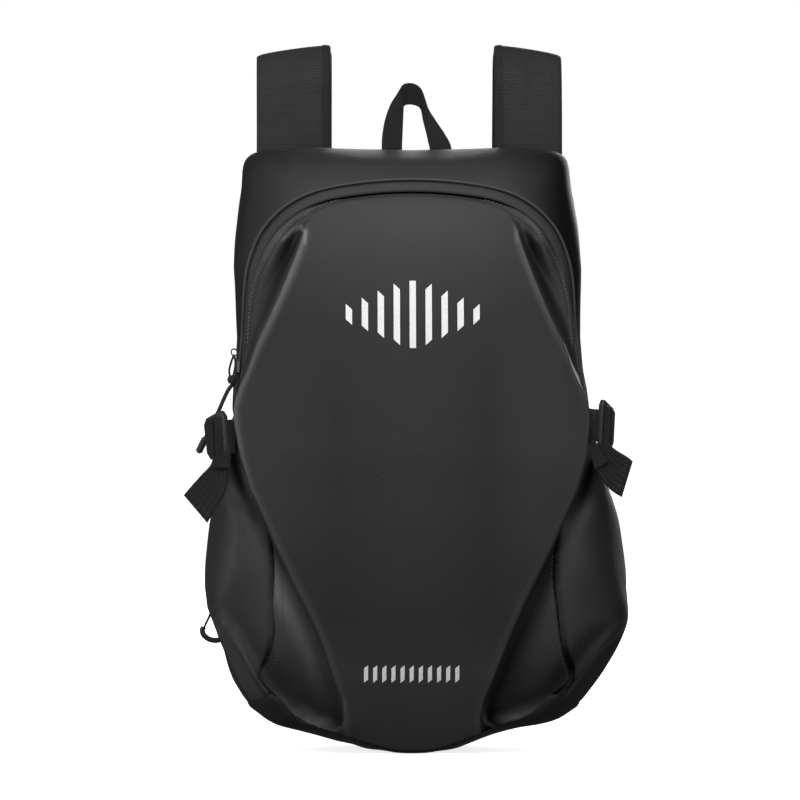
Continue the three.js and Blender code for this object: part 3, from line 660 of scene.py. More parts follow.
def paint_light_and_shade(piece, seams):
    """Paints highlights along the ridge, rim and folds and shade in the hollows into a point attribute, and
    darkens the seams.
    """
    layer = piece.data.attributes.new("painted_light", "FLOAT", "POINT")
    for spot in piece.data.vertices:
        side = side_of(spot.co)
        painted_strength = painted_light_strengths[side]
        across = abs(spot.co.x) / mm
        up = spot.co.z / mm
        outside, height = off_line(spot.co, ridge_rows)
        on_rim = bump_of(off_line(spot.co, rim_highlight_rows)[0], *highlight_line_spot)
        painted_light = read_rows(ridge_highlight_rows[side], height) * bump_of(outside, *ridge_highlight_spot) + painted_strength["rim"] * on_rim
        painted_shade = read_rows(hollow_shade_rows, height) * bump_of(outside, *hollow_shade_spot) * (1 - on_rim)
        if side < 0 and piece.name == "front_shell_cloth":
            painted_light += read_rows(lit_rows, height) * bump_of(outside, *lit_spot)
            painted_light += read_rows(soft_highlight_rows, height) * bump_of(outside, *soft_highlight_spot)
        if outside < 0:
            wide = share_of(across, side_shading_start, side_shading_end) * read_rows(side_shading_rows, up)
            painted_light += read_rows(face_light_rows, up) + wide * painted_strength["wide"]
        elif side > 0:
            painted_shade += read_rows(shade_rows, height)
            painted_shade += read_rows(valley_shade_rows, height) * bump_of(outside, *valley_shade_spot)
        if spot.co.y < fold_depth:
            low = share_of(up, fold_top, fold_full)
            above = -off_line(spot.co, fold_highlight_lines[side])[0]
            painted_light += low * painted_strength["fold"] * bump_of(above, *fold_highlight_spot)
            painted_light += low * painted_strength["above"] * bump_of(above, *above_fold_light_spot)
            painted_shade += low * painted_strength["shade"] * bump_of(above, *shade_spot)
            painted_light += painted_strength["u"] * bump_of(off_line(spot.co, u_highlight_lines[side])[0], *highlight_line_spot)
            if outside > under_light_start:
                painted_light += low * painted_strength["under"] * share_of(above, 0, under_light_full)
        if up < seam_top and across > seam_inside:
            gap = seams.find(spot.co)[2] / mm
            painted_shade += seam_dark * bump_of(gap, *seam_spot)
            painted_light = min(painted_light, seam_light * share_of(gap, 0, seam_reach))
        layer.data[spot.index].value = max(painted_light - painted_shade, darkest)


shell = outer_skin("front_shell", "front_shell_cloth")
select_parts(shell, "EDGE", on_ridge)
bpy.ops.mesh.bevel(offset=3 * mm, segments=2, affect="EDGES")
bpy.ops.object.mode_set(mode="OBJECT")
smooth_surface(shell, levels=2, through=True)
press_hollows(shell)
shell_seams = free_edges(shell)
turn_in_edges(shell, roll=1.4 * mm, depth=4 * mm)
smooth_surface(shell, 1)
# Painted highlights and painted shade go into the shell cloth's colour.
paint_light_and_shade(shell, shell_seams)
lean_over(shell)
shell_cloth = coated_cloth("shell_cloth", colour=(0.0125, 0.0127, 0.0132), grain=0.5)
finish_piece(shell, shell_cloth, "coated_fabric", "front_shell")


# Yoke
# The gusset over the top and down beside the zip is the same cloth, laid over the main seam. Its
# top is nearly straight from one square shoulder to the other.
top_start = 468 * mm
top_share = 0.66
corner_place = Vector((98 * mm, 446 * mm))
corner_size = 36 * mm


def square_shoulders(piece):
    """Flattens the top of the yoke a little and pushes its rounded shoulders out."""
    for spot in piece.data.vertices:
        if spot.co.z > top_start:
            spot.co.z = top_start + (spot.co.z - top_start) * top_share
        u = (abs(spot.co.x) - corner_place.x) / corner_size
        v = (spot.co.z - corner_place.y) / corner_size
        if u > 0 and v > 0:
            grow = math.hypot(u, v) / (u ** 3 + v ** 3) ** (1 / 3)
            spot.co.x = math.copysign(corner_place.x + u * grow * corner_size, spot.co.x)
            spot.co.z = corner_place.y + v * grow * corner_size


yoke = outer_skin("yoke", "yoke_cloth")
smooth_surface(yoke, 2, through=True)
square_shoulders(yoke)
turn_in_edges(yoke, roll=0.6 * mm, depth=2.2 * mm)
smooth_surface(yoke, 1)
# Painted light over the yoke's middle and painted shade towards its shoulders, more on the right.
yoke_light = 0.35
yoke_side_shade = {-1: 0.83, 1: 1.2}
layer = yoke.data.attributes.new("painted_light", "FLOAT", "POINT")
for spot in yoke.data.vertices:
    outer = share_of(abs(spot.co.x) / mm, side_shading_start, side_shading_end)
    layer.data[spot.index].value = yoke_light - outer * yoke_side_shade[side_of(spot.co)]
lean_over(yoke)
finish_piece(yoke, shell_cloth, "coated_fabric", "yoke")


# Side lobes
# The wide lower side panels are cut from the same coated cloth. They are sewn to the shell in front,
# and a fold runs down across each of them to the base.
fold_rows = [(158, 113), (151, 92), (139, 75), (129, 60), (119, 41)]


def on_fold(ends):
    """Whether an edge of the coarse skin lies along the fold of a side panel."""
    return all(end.y < -40 * mm and near_corner(end, fold_rows, 1.5 * mm) for end in ends)


sides = {"left": -1, "right": 1}
for side in sides:
    lobe = outer_skin("side_lobe_" + side, "side_cloth_" + side)
    select_parts(lobe, "EDGE", on_fold)
    bpy.ops.transform.edge_crease(value=0.85)
    bpy.ops.object.mode_set(mode="OBJECT")
    smooth_surface(lobe, 2, through=True)
    press_hollows(lobe)
    lobe_seams = free_edges(lobe)
    turn_in_edges(lobe, roll=1.4 * mm, depth=2.2 * mm)
    smooth_surface(lobe, 1)
    # Painted highlights and painted shade, as on the shell.
    paint_light_and_shade(lobe, lobe_seams)
    lean_over(lobe)
    finish_piece(lobe, shell_cloth, "coated_fabric", "side_lobe_" + side)


# Base
# The bag stands on a panel of darker coated cloth. It is sewn in between the shell, the side panels and
# the back, and its edges run on a little under theirs.
def tuck_under(piece, reach, drop, rear):
    """Extends the free edges of a skin under its neighbours, in front of a given depth."""
    select_none(piece, "VERT")
    bpy.ops.mesh.select_non_manifold(extend=False, use_boundary=True)
    bpy.ops.mesh.extrude_region_move()
    bpy.ops.object.mode_set(mode="OBJECT")
    spots = piece.data.vertices
    pairs = {}
    for edge in piece.data.edges:
        a, b = edge.vertices
        if spots[a].select != spots[b].select:
            pairs[b if spots[a].select else a] = a if spots[a].select else b
    inner = {old: Vector((0, 0, 0)) for old in pairs}
    for edge in piece.data.edges:
        for a, b in (edge.vertices, tuple(reversed(edge.vertices))):
            if a in pairs and b not in pairs and not spots[b].select:
                inner[a] += spots[a].co - spots[b].co
    for old, new in pairs.items():
        share = share_of(spots[old].co.y, rear, rear - 10 * mm)
        spots[new].co = spots[old].co + inner[old].normalized() * reach * share - spots[old].normal * drop


base = outer_skin("base_panel", "base_cloth")
smooth_surface(base, 2, through=True)
tuck_under(base, reach=4 * mm, drop=1.5 * mm, rear=62 * mm)
lean_over(base)
base_cloth = coated_cloth("base_cloth", colour=(0.006, 0.0062, 0.0066), grain=0.6)
finish_piece(base, base_cloth, "coated_fabric", "base_panel")


# Zip
# A woven tape with a fine coil runs round the arch of the shell. The yoke's edge over it is corded: a strip
# of the shell's cloth, coloured lighter as a painted highlight, is sewn round a cord.
def snap_round(piece, depth):
    """Points round the arch on a piece, found at one depth from outside towards the arch's centre."""
    route = []
    for step in range(arch_steps + 1):
        turn = math.radians(arch_start + (arch_end - arch_start) * step / arch_steps)
        outwards = Vector((math.cos(turn), 0, math.sin(turn)))
        start = Vector((0, depth, arch_centre * mm)) + outwards * arch_reach
        hit, place, facing, _ = piece.ray_cast(start, -outwards)
        if hit:
            route.append(place + facing * 0.1 * mm)
    return route


def swell(piece, distance):
    """Moves the whole surface of a piece outwards."""
    edit_all(piece, bpy.ops.transform.shrink_fatten, value=distance)


def row_along(name, route, unit, pitch):
    """Repeats a small piece along a route."""
    line = line_of(name + "_line", route)
    unit.name = name
    apply_modifier(
        unit, "ARRAY", fit_type="FIT_CURVE", curve=line, use_relative_offset=False,
        use_constant_offset=True, constant_offset_displace=(pitch, 0, 0),
    )
    apply_modifier(unit, "CURVE", object=line, deform_axis="POS_X")
    bpy.data.objects.remove(line)
    shade(unit)
    return unit


def start_from(operator, name, scale=(1, 1, 1), **settings):
    """Adds a primitive at its size and place, as the only piece selected."""
    bpy.ops.object.select_all(action="DESELECT")
    operator(**settings)
    piece = bpy.context.object
    piece.name = name
    piece.scale = scale
    bpy.ops.object.transform_apply(location=True, rotation=True, scale=True)
    return piece


def bead(length, width):
    """A small long bead that starts at the origin and lies along X."""
    return start_from(
        bpy.ops.mesh.primitive_uv_sphere_add, "bead", (length, width, width),
        segments=6, ring_count=4, radius=0.5, location=(length / 2, 0, 0),
    )


def plain_black(name, tone, gloss, bumps, depth):
    """A plain dark finish with a fine uneven surface."""
    material, nodes, shader = nodes_of(name)
    place = add(nodes, "TexCoord", {}, "Object")
    grain = add(nodes, "TexNoise", {"Vector": place, "Scale": bumps, "Detail": 4})
    dark = (tone * 0.75, tone * 0.75, tone * 0.78)
    light = (tone * 1.3, tone * 1.3, tone * 1.34)
    feed(shader, {
        "Base Color": ramp(nodes, grain, (0.3, dark), (0.75, light)),
        "Roughness": add(nodes, "MapRange", {"Value": grain, "To Min": gloss - 0.08, "To Max": gloss + 0.08}),
        "Normal": add(nodes, "Bump", {"Height": grain, "Strength": 0.6, "Distance": depth}),
    })
    return material


arch_centre = 320
arch_reach = 250 * mm
arch_start = -20
arch_end = 200
arch_steps = 150
tape_depth = -41.3 * mm
tape_cloth = plain_black("tape_cloth", 0.0085, 0.7, 2200, 0.2 * mm)
coil_nylon = plain_black("coil_nylon", 0.004, 0.55, 900, 0.1 * mm)
tape = paired_copy("zip_tape", "zip_tape_woven")
refine(tape, 2)
swell(tape, 0.9 * mm)
shade(tape, 40)
coil_length = 1.0 * mm
coil_width = 1.5 * mm
coil_pitch = 1.2 * mm
for name, offset in (("zip_coil_a", 0.9 * mm), ("zip_coil_b", 2.5 * mm)):
    route = snap_round(tape, tape_depth + offset)
    coil = row_along(name, route, bead(coil_length, coil_width), coil_pitch)
    lean_over(coil)
    finish_piece(coil, coil_nylon, "zip_tape")
lean_over(tape)
finish_piece(tape, tape_cloth, "zip_tape", "zip_tape")

# The piping cloth is about twice as light as the shell cloth: a painted highlight along the corded edge.
piping_highlight_cloth = coated_cloth("piping_highlight_cloth", colour=(0.026, 0.0263, 0.027), grain=0.4)
piping = paired_copy("yoke_piping", "yoke_piping_cloth")
refine(piping, 1)
shade(piping)
lean_over(piping)
finish_piece(piping, piping_highlight_cloth, "coated_fabric", "yoke_piping")


# Stitches
# The turned edges are held by rows of thread: round the arch of the shell and beside its two seams
# with the side panels.
def snap_front(piece, places, stand):
    """Points on the front of a piece, under places given across and up in millimetres."""
    line = [leaned(spot) for spot in smooth_route([Vector((x, 0, z)) * mm for x, z in places], 10)]
    route = []
    for spot in line:
        hit, place, facing, _ = piece.ray_cast(Vector((spot.x, -1, spot.z)), Vector((0, 1, 0)))
        if hit:
            route.append(place + facing * stand)
    return route


thread = plain_black("thread", 0.03, 0.6, 1500, 0.1 * mm)
highlight_thread = plain_black("highlight_thread", 0.07, 0.55, 1500, 0.1 * mm)
painted_shade_thread = plain_black("painted_shade_thread", 0.002, 0.8, 1500, 0.1 * mm)
stitch_length = 2.7 * mm
stitch_pitch = 3.3 * mm
stitch_width = 0.75 * mm
arch_width = 0.8 * mm
arch_half = [
    (0, 445), (40, 443), (64, 438), (85, 428.5), (100, 417), (112, 399), (121.5, 379), (129, 350),
    (132.5, 325),
]
arch_row = [(-x, z) for x, z in reversed(arch_half[1:])] + arch_half
# Round the arch, the light row is lighter than the cloth as a painted highlight on the stitched edge, and the
# near-black row just inside it is painted shade in the groove beside it.
for name, share, finish in (("light", 1.0, highlight_thread), ("painted_shade", 0.981, painted_shade_thread)):
    places = [(x * share, arch_centre + (z - arch_centre) * share) for x, z in arch_row]
    route = snap_front(shell, places, 0.1 * mm)
    row = row_along("arch_stitches_" + name, route, bead(stitch_length, arch_width), stitch_pitch)
    finish_piece(row, finish, "coated_fabric")
seam_stitches = {
    "left": [(-106.5, 164), (-104.8, 128), (-106.8, 96), (-112, 76), (-118, 61)],
    "right": [(109.5, 158), (108.2, 128), (110.6, 96), (115.4, 76), (121.5, 60)],
}
for side, places in seam_stitches.items():
    route = snap_front(shell, places, 0.05 * mm)
    row = row_along("seam_stitches_" + side, route, bead(stitch_length, stitch_width), stitch_pitch)
    finish_piece(row, thread, "coated_fabric")


# Printed bars
# A plain pattern of silver-white bars is printed high on the front, and a row of small ones low
# on it.
def printed_bar(name, across, low, high, width, slant):
    """A flat bar with slanted ends, laid on the shell."""
    bar = start_from(
        bpy.ops.mesh.primitive_grid_add, name,
        x_subdivisions=3, y_subdivisions=10, size=1, location=(0, -1, 0), rotation=(math.pi / 2, 0, 0),
    )
    for spot in bar.data.vertices:
        rise = (spot.co.z + 0.5) * (high - low)
        spot.co.z = low + rise + spot.co.x * width * slant
        spot.co.x = across + spot.co.x * width
    apply_modifier(
        bar, "SHRINKWRAP", target=shell, wrap_method="PROJECT", use_project_y=True,
        use_project_z=False, use_positive_direction=True, use_negative_direction=False, offset=0.12 * mm,
    )
    return bar


def join(pieces, name):
    """Joins pieces into one."""
    bpy.ops.object.select_all(action="DESELECT")
    for piece in pieces:
        piece.select_set(True)
    bpy.context.view_layer.objects.active = pieces[0]
    bpy.ops.object.join()
    pieces[0].name = name
    return pieces[0]


print_ink = plain_black("print_ink", 0.62, 0.5, 1800, 0.06 * mm)
mark_middle = 349 * mm
mark_step = 12.6 * mm
mark_width = 5 * mm
mark_slant = 0.9
mark_heights = [53, 44, 33, 22, 12]
mark_bars = []
for i in range(-4, 5):
    half = mark_heights[abs(i)] / 2 * mm
    slant = 0 if i == 0 else math.copysign(mark_slant, i)
    bar = printed_bar("mark_bar", i * mark_step, mark_middle - half, mark_middle + half, mark_width, slant)
    mark_bars.append(bar)
finish_piece(join(mark_bars, "printed_mark"), print_ink, "coated_fabric")
row_middle = -1 * mm
row_step = 7.2 * mm
row_low = 59.5 * mm
row_high = 71 * mm
row_width = 3.2 * mm
row_slant = 0.8
row_bars = [
    printed_bar("row_bar", row_middle + i * row_step, row_low, row_high, row_width, row_slant)
    for i in range(-5, 6)
]
finish_piece(join(row_bars, "printed_row"), print_ink, "coated_fabric")


# Back panel
# The side worn against the back is spacer mesh, with two long pads of the same mesh over foam that
# are quilted across.
def spacer_mesh(name, tone):
    """Open spacer mesh: rows of small round holes with raised threads between them."""
    material, nodes, shader = nodes_of(name)
    place = add(nodes, "TexCoord", {}, "Object")
    cells = add(nodes, "TexVoronoi", {"Vector": place, "Scale": 420, "Randomness": 0.18})
    holes = add(nodes, "MapRange", {"Value": cells, "From Min": 0.2, "From Max": 0.5})
    feed(shader, {
        "Base Color": add(nodes, "MapRange", {"Value": holes, "To Min": tone * 0.3, "To Max": tone * 1.3}),
        "Roughness": 0.85,
        "Normal": add(nodes, "Bump", {"Height": holes, "Strength": 0.9, "Distance": 0.7 * mm}),
    })
    return material


def rounded_plate(node, name, edge, segments=3):
    """A packed plate with its edges rounded."""
    piece = merged_copy(node, name)
    edit_all(piece, bpy.ops.mesh.dissolve_limited, angle_limit=math.radians(2))
    round_edges(piece, edge, segments)
    shade(piece, 40)
    return piece


panel_mesh = spacer_mesh("panel_mesh", 0.016)
pad_mesh = spacer_mesh("pad_mesh", 0.022)
back = rounded_plate("back_panel", "back_panel_mesh", 0.8 * mm, 2)
lean_over(back)
finish_piece(back, panel_mesh, "mesh_fabric", "back_panel")

pad_voxel = 3.2 * mm
pad_swell = 4 * mm
pad_pressure = 4
fill_frames = 20
quilt_step = 45 * mm
quilt_width = 5 * mm
quilt_depth = 3.2 * mm


def inflate(pad):
    """Fills a pad by a cloth simulation, with a cap on how far a point may move."""
    before = [spot.co.copy() for spot in pad.data.vertices]
    choose(pad)
    bpy.ops.object.modifier_add(type="CLOTH")
    cloth = pad.modifiers[-1]
    cloth.settings.use_pressure = True
    cloth.settings.uniform_pressure_force = pad_pressure
    cloth.settings.effector_weights.gravity = 0
    cloth.settings.quality = 5
    cloth.point_cache.frame_start = 1
    cloth.point_cache.frame_end = fill_frames
    for step in range(fill_frames):
        bpy.context.scene.frame_set(step + 1)
    bpy.ops.object.modifier_apply(modifier=cloth.name)
    bpy.context.scene.frame_set(1)
    for spot, old in zip(pad.data.vertices, before):
        move = spot.co - old
        if move.length > pad_swell:
            spot.co = old + move.normalized() * pad_swell


for side in sides:
    pad = merged_copy("back_pad_" + side, "back_pad_mesh_" + side)
    swell(pad, -1.5 * mm)
    apply_modifier(pad, "REMESH", mode="VOXEL", voxel_size=pad_voxel, adaptivity=0)
    inflate(pad)
    low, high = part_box("back_pad_" + side)
    for spot in pad.data.vertices:
        past = (spot.co.z - low[2] - quilt_step / 2) % quilt_step
        past = min(past, quilt_step - past)
        if spot.co.y > low[1] + 2 * mm and past < quilt_width:
            spot.co.y -= quilt_depth * math.cos(math.pi / 2 * past / quilt_width) ** 2
        spot.co.y = max(spot.co.y, low[1])
    apply_modifier(pad, "SMOOTH", factor=0.5, iterations=4)
    refine(pad, 1)
    shade(pad)
    finish_piece(pad, pad_mesh, "mesh_fabric", "back_pad_" + side)


# Shoulder straps
# Each is ribbed cloth over foam, with a black woven binding down its inner edge. It rises behind
# the top of the bag, turns over and runs down the back.
def weave_map(piece, place_on):
    """Lays a map on a piece whose U runs across the cloth and V along it, both in metres."""
    layer = piece.data.uv_layers.new(name="weave")
    piece.data.uv_layers.active = layer
    spots = piece.data.vertices
    for loop in piece.data.loops:
        layer.data[loop.index].uv = place_on(spots[loop.vertex_index].co)


def along_route(route):
    """Reads a place against a band's middle line: how far across it and how far along it."""
    starts = [0]
    for a, b in zip(route, route[1:]):
        starts.append(starts[-1] + (b - a).length)

    def read(place):
        nearest = (math.inf, 0, 0)
        for a, b, start in zip(route, route[1:], starts):
            run = b - a
            share = min(max((place - a).dot(run) / run.dot(run), 0), 1)
            gap = place - a - run * share
            if gap.length < nearest[0]:
                nearest = (gap.length, gap.x, start + run.length * share)
        return nearest[1:]

    return read


def woven(name, colour, along_pitch, across_pitch, depth):
    """Woven cloth: ribs along and across it, with loose fibres and a slow change of tone."""
    material, nodes, shader = nodes_of(name)
    place = add(nodes, "UVMap", {}, uv_map="weave")
    body = add(nodes, "TexCoord", {}, "Object")
    ribs = []
    for axis, pitch in (("X", across_pitch), ("Y", along_pitch)):
        wave = {"Vector": place, "Scale": wave_unit / pitch, "Distortion": 0.6, "Detail": 1}
        wave["Detail Scale"] = 2
        ribs.append(add(nodes, "TexWave", wave, "Fac", bands_direction=axis))
    fibres = add(nodes, "TexNoise", {"Vector": body, "Scale": 2600, "Detail": 2})
    slow = add(nodes, "TexNoise", {"Vector": body, "Scale": 60, "Detail": 3})
    weave = add(nodes, "Math", {0: ribs[0], 1: 0.6, 2: ribs[1]}, operation="MULTIPLY_ADD")
    rough = add(nodes, "Math", {0: fibres, 1: 0.5, 2: weave}, operation="MULTIPLY_ADD")
    mottle = add(nodes, "Math", {0: slow, 1: 0.8, 2: rough}, operation="MULTIPLY_ADD")
    share = add(nodes, "Math", {0: mottle, 1: 2.4}, operation="DIVIDE")
    feed(shader, {
        "Base Color": ramp(nodes, share, (0.3, scaled(colour, 0.3)), (0.84615, scaled(colour, 1.7))),
        "Roughness": 0.8,
        "Specular IOR Level": 0.35,
        "Normal": add(nodes, "Bump", {"Height": rough, "Strength": 0.8, "Distance": depth}),
    })
    return material


wave_unit = 0.314
strap_middle = 93 * mm
strap_half = 30.5 * mm
strap_line = [
    Vector((0, y, z)) * mm
    for y, z in [
        (81.5, 434), (81.5, 463), (82.3, 490), (84.7, 516), (90.9, 539), (101.8, 553), (114.3, 557),
        (127.6, 550), (137.7, 532), (144.7, 510), (149.4, 482), (151.7, 434), (151, 386), (147.8, 337),
        (142.4, 289), (135.4, 241), (128.3, 202),
    ]
]
strap_places = {"left": (-93.9 * mm, 0.935), "right": (96.3 * mm, 0.845)}
binding_width = 5.5 * mm
strap_cloth = woven("strap_cloth", (0.0125, 0.0127, 0.0132), 1.5 * mm, 0.8 * mm, 0.16 * mm)
binding_cloth = woven("binding_cloth", (0.007, 0.007, 0.0075), 1.1 * mm, 1.8 * mm, 0.25 * mm)


def hang_strap(piece, sign, middle, share):
    """Sets a strap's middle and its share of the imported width."""
    for spot in piece.data.vertices:
        spot.co.x = middle + (spot.co.x - sign * strap_middle) * share


for side, sign in sides.items():
    strap = paired_copy("shoulder_strap_" + side, "strap_cloth_" + side)
    smooth_surface(strap, 2, through=True)
    binding = twin_of(strap, "strap_binding_" + side)
    inner_edge = (sign * (strap_middle - strap_half + binding_width), 0, 0)
    edit_all(
        binding, bpy.ops.mesh.bisect,
        plane_co=inner_edge, plane_no=(sign, 0, 0), clear_outer=True, use_fill=True,
    )
    swell(binding, 0.7 * mm)
    shade(binding, 50)
    route = [place + Vector((sign * strap_middle, 0, 0)) for place in strap_line]
    for piece in (strap, binding):
        weave_map(piece, along_route(route))
        hang_strap(piece, sign, *strap_places[side])
    finish_piece(strap, strap_cloth, "strap_fabric", "shoulder_strap_" + side)
    finish_piece(binding, binding_cloth, "webbing")


# Webbing
# Flat nylon webbing: the straps at the front corners, their loose ends, the lower ends of the
# shoulder straps with their tabs, and the grab handle.
webbing = woven("webbing", (0.0085, 0.0087, 0.0098), 0.9 * mm, 1.9 * mm, 0.5 * mm)


def band(node, name):
    """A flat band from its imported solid, with rounded edges and smooth bends."""
    piece = paired_copy(node, name)
    round_edges(piece, 0.45 * mm, 2)
    refine(piece, 2)
    shade(piece, 60)
    return piece


def flat_map(along, across):
    """Reads a place on a nearly flat band by its two directions."""
    along = Vector(along).normalized()
    across = Vector(across).normalized()
    return lambda place: (place.dot(across), place.dot(along))


for side, sign in sides.items():
    for node, along, across in (
        ("front_web_", (0.3 * sign, 1, 0), (0, 0, 1)),
        ("rear_web_", (0, 1, 0), (0, 0, 1)),
        ("lower_web_", (0, 0, 1), (1, 0, 0)),
        ("corner_tab_", (0, 0, 1), (1, 0, 0)),
    ):
        web = band(node + side, node + "woven_" + side)
        weave_map(web, flat_map(along, across))
        finish_piece(web, webbing, "webbing", node + side)


def band_of_rows(name, rows, thickness, steps):
    """A band made from its rows by smoothing each edge, joining them and giving them a thickness."""
    edges = []
    for side in (0, 1):
        points = [Vector((row[side][0], row[side + 2], row[side][1])) * mm for row in rows]
        edges.append(smooth_route(points, steps))
    last = len(edges[0]) - 1
    piece = start_from(
        bpy.ops.mesh.primitive_grid_add, name, x_subdivisions=band_columns, y_subdivisions=last, size=1
    )
    layer = piece.data.uv_layers.new(name="weave")
    piece.data.uv_layers.active = layer
    width = (edges[1][0] - edges[0][0]).length
    middles = [(a + b) / 2 for a, b in zip(*edges)]
    starts = [0]
    for a, b in zip(middles, middles[1:]):
        starts.append(starts[-1] + (b - a).length)
    shares = [spot.co.x + 0.5 for spot in piece.data.vertices]
    places = [round((spot.co.y + 0.5) * last) for spot in piece.data.vertices]
    for loop in piece.data.loops:
        i = loop.vertex_index
        layer.data[loop.index].uv = (shares[i] * width, starts[places[i]])
    for i, spot in enumerate(piece.data.vertices):
        spot.co = edges[0][places[i]].lerp(edges[1][places[i]], shares[i])
    apply_modifier(piece, "SOLIDIFY", thickness=thickness, offset=0)
    apply_modifier(piece, "BEVEL", width=thickness * 0.25, segments=2, angle_limit=math.radians(50))
    shade(piece, 60)
    return piece


band_columns = 6

# The loose ends hang from the buckles. Their rows give the upper and the lower edge, across and
# up, and their depths, in millimetres.
tail_rows = {
    "left": [
        ((-157.5, 236.5), (-146.8, 241), -66.5, -64.5),
        ((-160.2, 229.2), (-146.2, 232), -67, -65),
        ((-166.4, 222.6), (-145.4, 222), -67.2, -65.4),
        ((-172.6, 215.8), (-147.6, 209), -66.6, -66),
        ((-178.4, 209.2), (-156.4, 194), -65.6, -65.6),
        ((-181.0, 205.8), (-162.4, 183.8), -65, -65),
    ],
    "right": [
        ((152.2, 250.5), (143.2, 241), -67, -64),
        ((157.2, 244.6), (144.6, 229), -67.4, -64.6),
        ((163.6, 240.0), (150.4, 216.8), -67, -65),
        ((169.8, 236.4), (157.6, 209.2), -66, -65),
        ((174.4, 232.6), (165.8, 204), -65, -64.6),
    ],
}
tail_thickness = 1.6 * mm
tail_stitches = {
    "left": [(-177.6, 207.6), (-170, 198.2), (-163.2, 189.4)],
    "right": [(169.4, 233.6), (164.4, 220.5), (160, 209.5)],
}
tail_stitch = 2 * mm
tail_thread = 0.7 * mm
tail_pitch = 2.8 * mm
for side in sides:
    tail = band_of_rows("web_tail_woven_" + side, tail_rows[side], tail_thickness, 5)
    finish_piece(tail, webbing, "webbing", "web_tail_" + side)
    route = snap_front(tail, tail_stitches[side], 0.02 * mm)
    row = row_along("tail_stitches_" + side, route, bead(tail_stitch, tail_thread), tail_pitch)
    finish_piece(row, thread, "webbing")

# Each end is folded over where it leaves the buckle.
fold_over = {
    "left": [
        ((-145.8, 244), (-144.2, 244), -67.6, -66.6),
        ((-151.0, 236), (-144.2, 236), -68.8, -67),
        ((-157.0, 227.6), (-144.6, 227), -69, -67.2),
    ],
    "right": [
        ((144.4, 249), (141.4, 249), -66, -62),
        ((149.6, 240), (141.2, 238), -68.6, -64),
        ((155.4, 232.6), (144.4, 226), -69.2, -66.6),
    ],
}
# The folds take the darker binding cloth: painted shade on the folded-over webbing.
for side, rows in fold_over.items():
    fold = band_of_rows("web_fold_" + side, rows, tail_thickness, 4)
    finish_piece(fold, binding_cloth, "webbing")

# The handle's rows go from leg to leg. Each gives the outer edge and the inner edge, across and
# up, and their depths, in millimetres.
handle_rows = [
    ((-25, 466), (-8.4, 466), 76.4, 76.4),
    ((-25, 483), (-8.4, 483), 76.4, 76.4),
    ((-24.6, 492), (-7.9, 495.5), 76.4, 76.0),
    ((-22.4, 504), (-7.4, 507), 76.0, 75.6),
    ((-18, 515.5), (-7.1, 513), 75.4, 75.2),
    ((-13, 523), (-6.9, 514.5), 75.0, 76.0),
    ((-8.6, 529.4), (-6.8, 514.6), 75.6, 77.6),
    ((-5.4, 531.6), (-5.2, 515.4), 80.0, 81.0),
    ((-1.0, 532.0), (-0.6, 515.6), 83.6, 84.0),
    ((3.6, 530.6), (3.6, 514.6), 83.6, 84.0),
    ((7.2, 526.8), (6.8, 512.4), 80.6, 82.2),
    ((9.6, 520), (8.2, 508), 78.2, 80.6),
    ((12.2, 512.4), (9.2, 501.5), 76.6, 79.2),
    ((18, 503), (10.8, 494), 76.0, 78.0),
    ((24.4, 493), (12.2, 487), 76.0, 77.2),
    ((29, 483), (13.4, 480.5), 76.4, 76.6),
    ((30, 466), (13.8, 466), 76.4, 76.4),
]
handle_thickness = 1.8 * mm
handle_shift = 2.2 * mm
right_leg = 8 * mm
right_spread = 0.12
loop_start = 482 * mm
loop_rise = 0.07
handle = band_of_rows("grab_handle_woven", handle_rows, handle_thickness, 4)
for spot in handle.data.vertices:
    spot.co.x += handle_shift + max(spot.co.x - right_leg, 0) * right_spread
    spot.co.z += max(spot.co.z - loop_start, 0) * loop_rise
finish_piece(handle, webbing, "webbing", "grab_handle")


# Side buckles
# A moulded plastic ladder buckle sits on each corner of the front. The webbing is threaded round its
# bars, and its free end hangs below.
moulded = plain_black("moulded_plastic", 0.011, 0.5, 700, 0.12 * mm)
buckle_places = {
    "left": ((-154.6, -49.7, 251.6), (-0.584, 0.811, 0), (0.1, 0, 1), 0.16),
    "right": ((154, -49.7, 260.3), (0.387, 0.922, 0), (0.05, 0, 1), 0),
}
loop_size = Vector((9.6, 33, 4.2)) * mm
loop_places = (-5.6 * mm, 5.88 * mm)
loop_stand = 1.6 * mm
loop_round = 1.6 * mm
half_buckle = 14 * mm
rounding_start = 0.45
upper_cut = 0.24
lower_cut = 0.1
most_cut = 0.5


def round_back(piece, middle, lengthways, upwards, slope):
    """Rounds the rear end of a buckle off, above and below, and lets it slope."""
    for spot in piece.data.vertices:
        from_middle = spot.co - middle
        along = from_middle.dot(lengthways) / half_buckle
        high = from_middle.dot(upwards)
        cut = max(along + rounding_start, 0) ** 2 * (upper_cut if high > 0 else lower_cut)
        spot.co -= upwards * high * min(cut, most_cut)
        spot.co.x -= (spot.co.z - middle.z) * slope


def web_loop(place, lengthways, upwards, outwards):
    """A loop of webbing round one bar of a buckle."""
    loop = start_from(bpy.ops.mesh.primitive_cube_add, "web_loop", loop_size, size=1)
    apply_modifier(loop, "BEVEL", width=loop_round, segments=4)
    for spot in loop.data.vertices:
        spot.co = place + lengthways * spot.co.x + upwards * spot.co.y + outwards * spot.co.z
    edit_all(loop, bpy.ops.mesh.normals_make_consistent, inside=False)
    shade(loop, 50)
    return loop


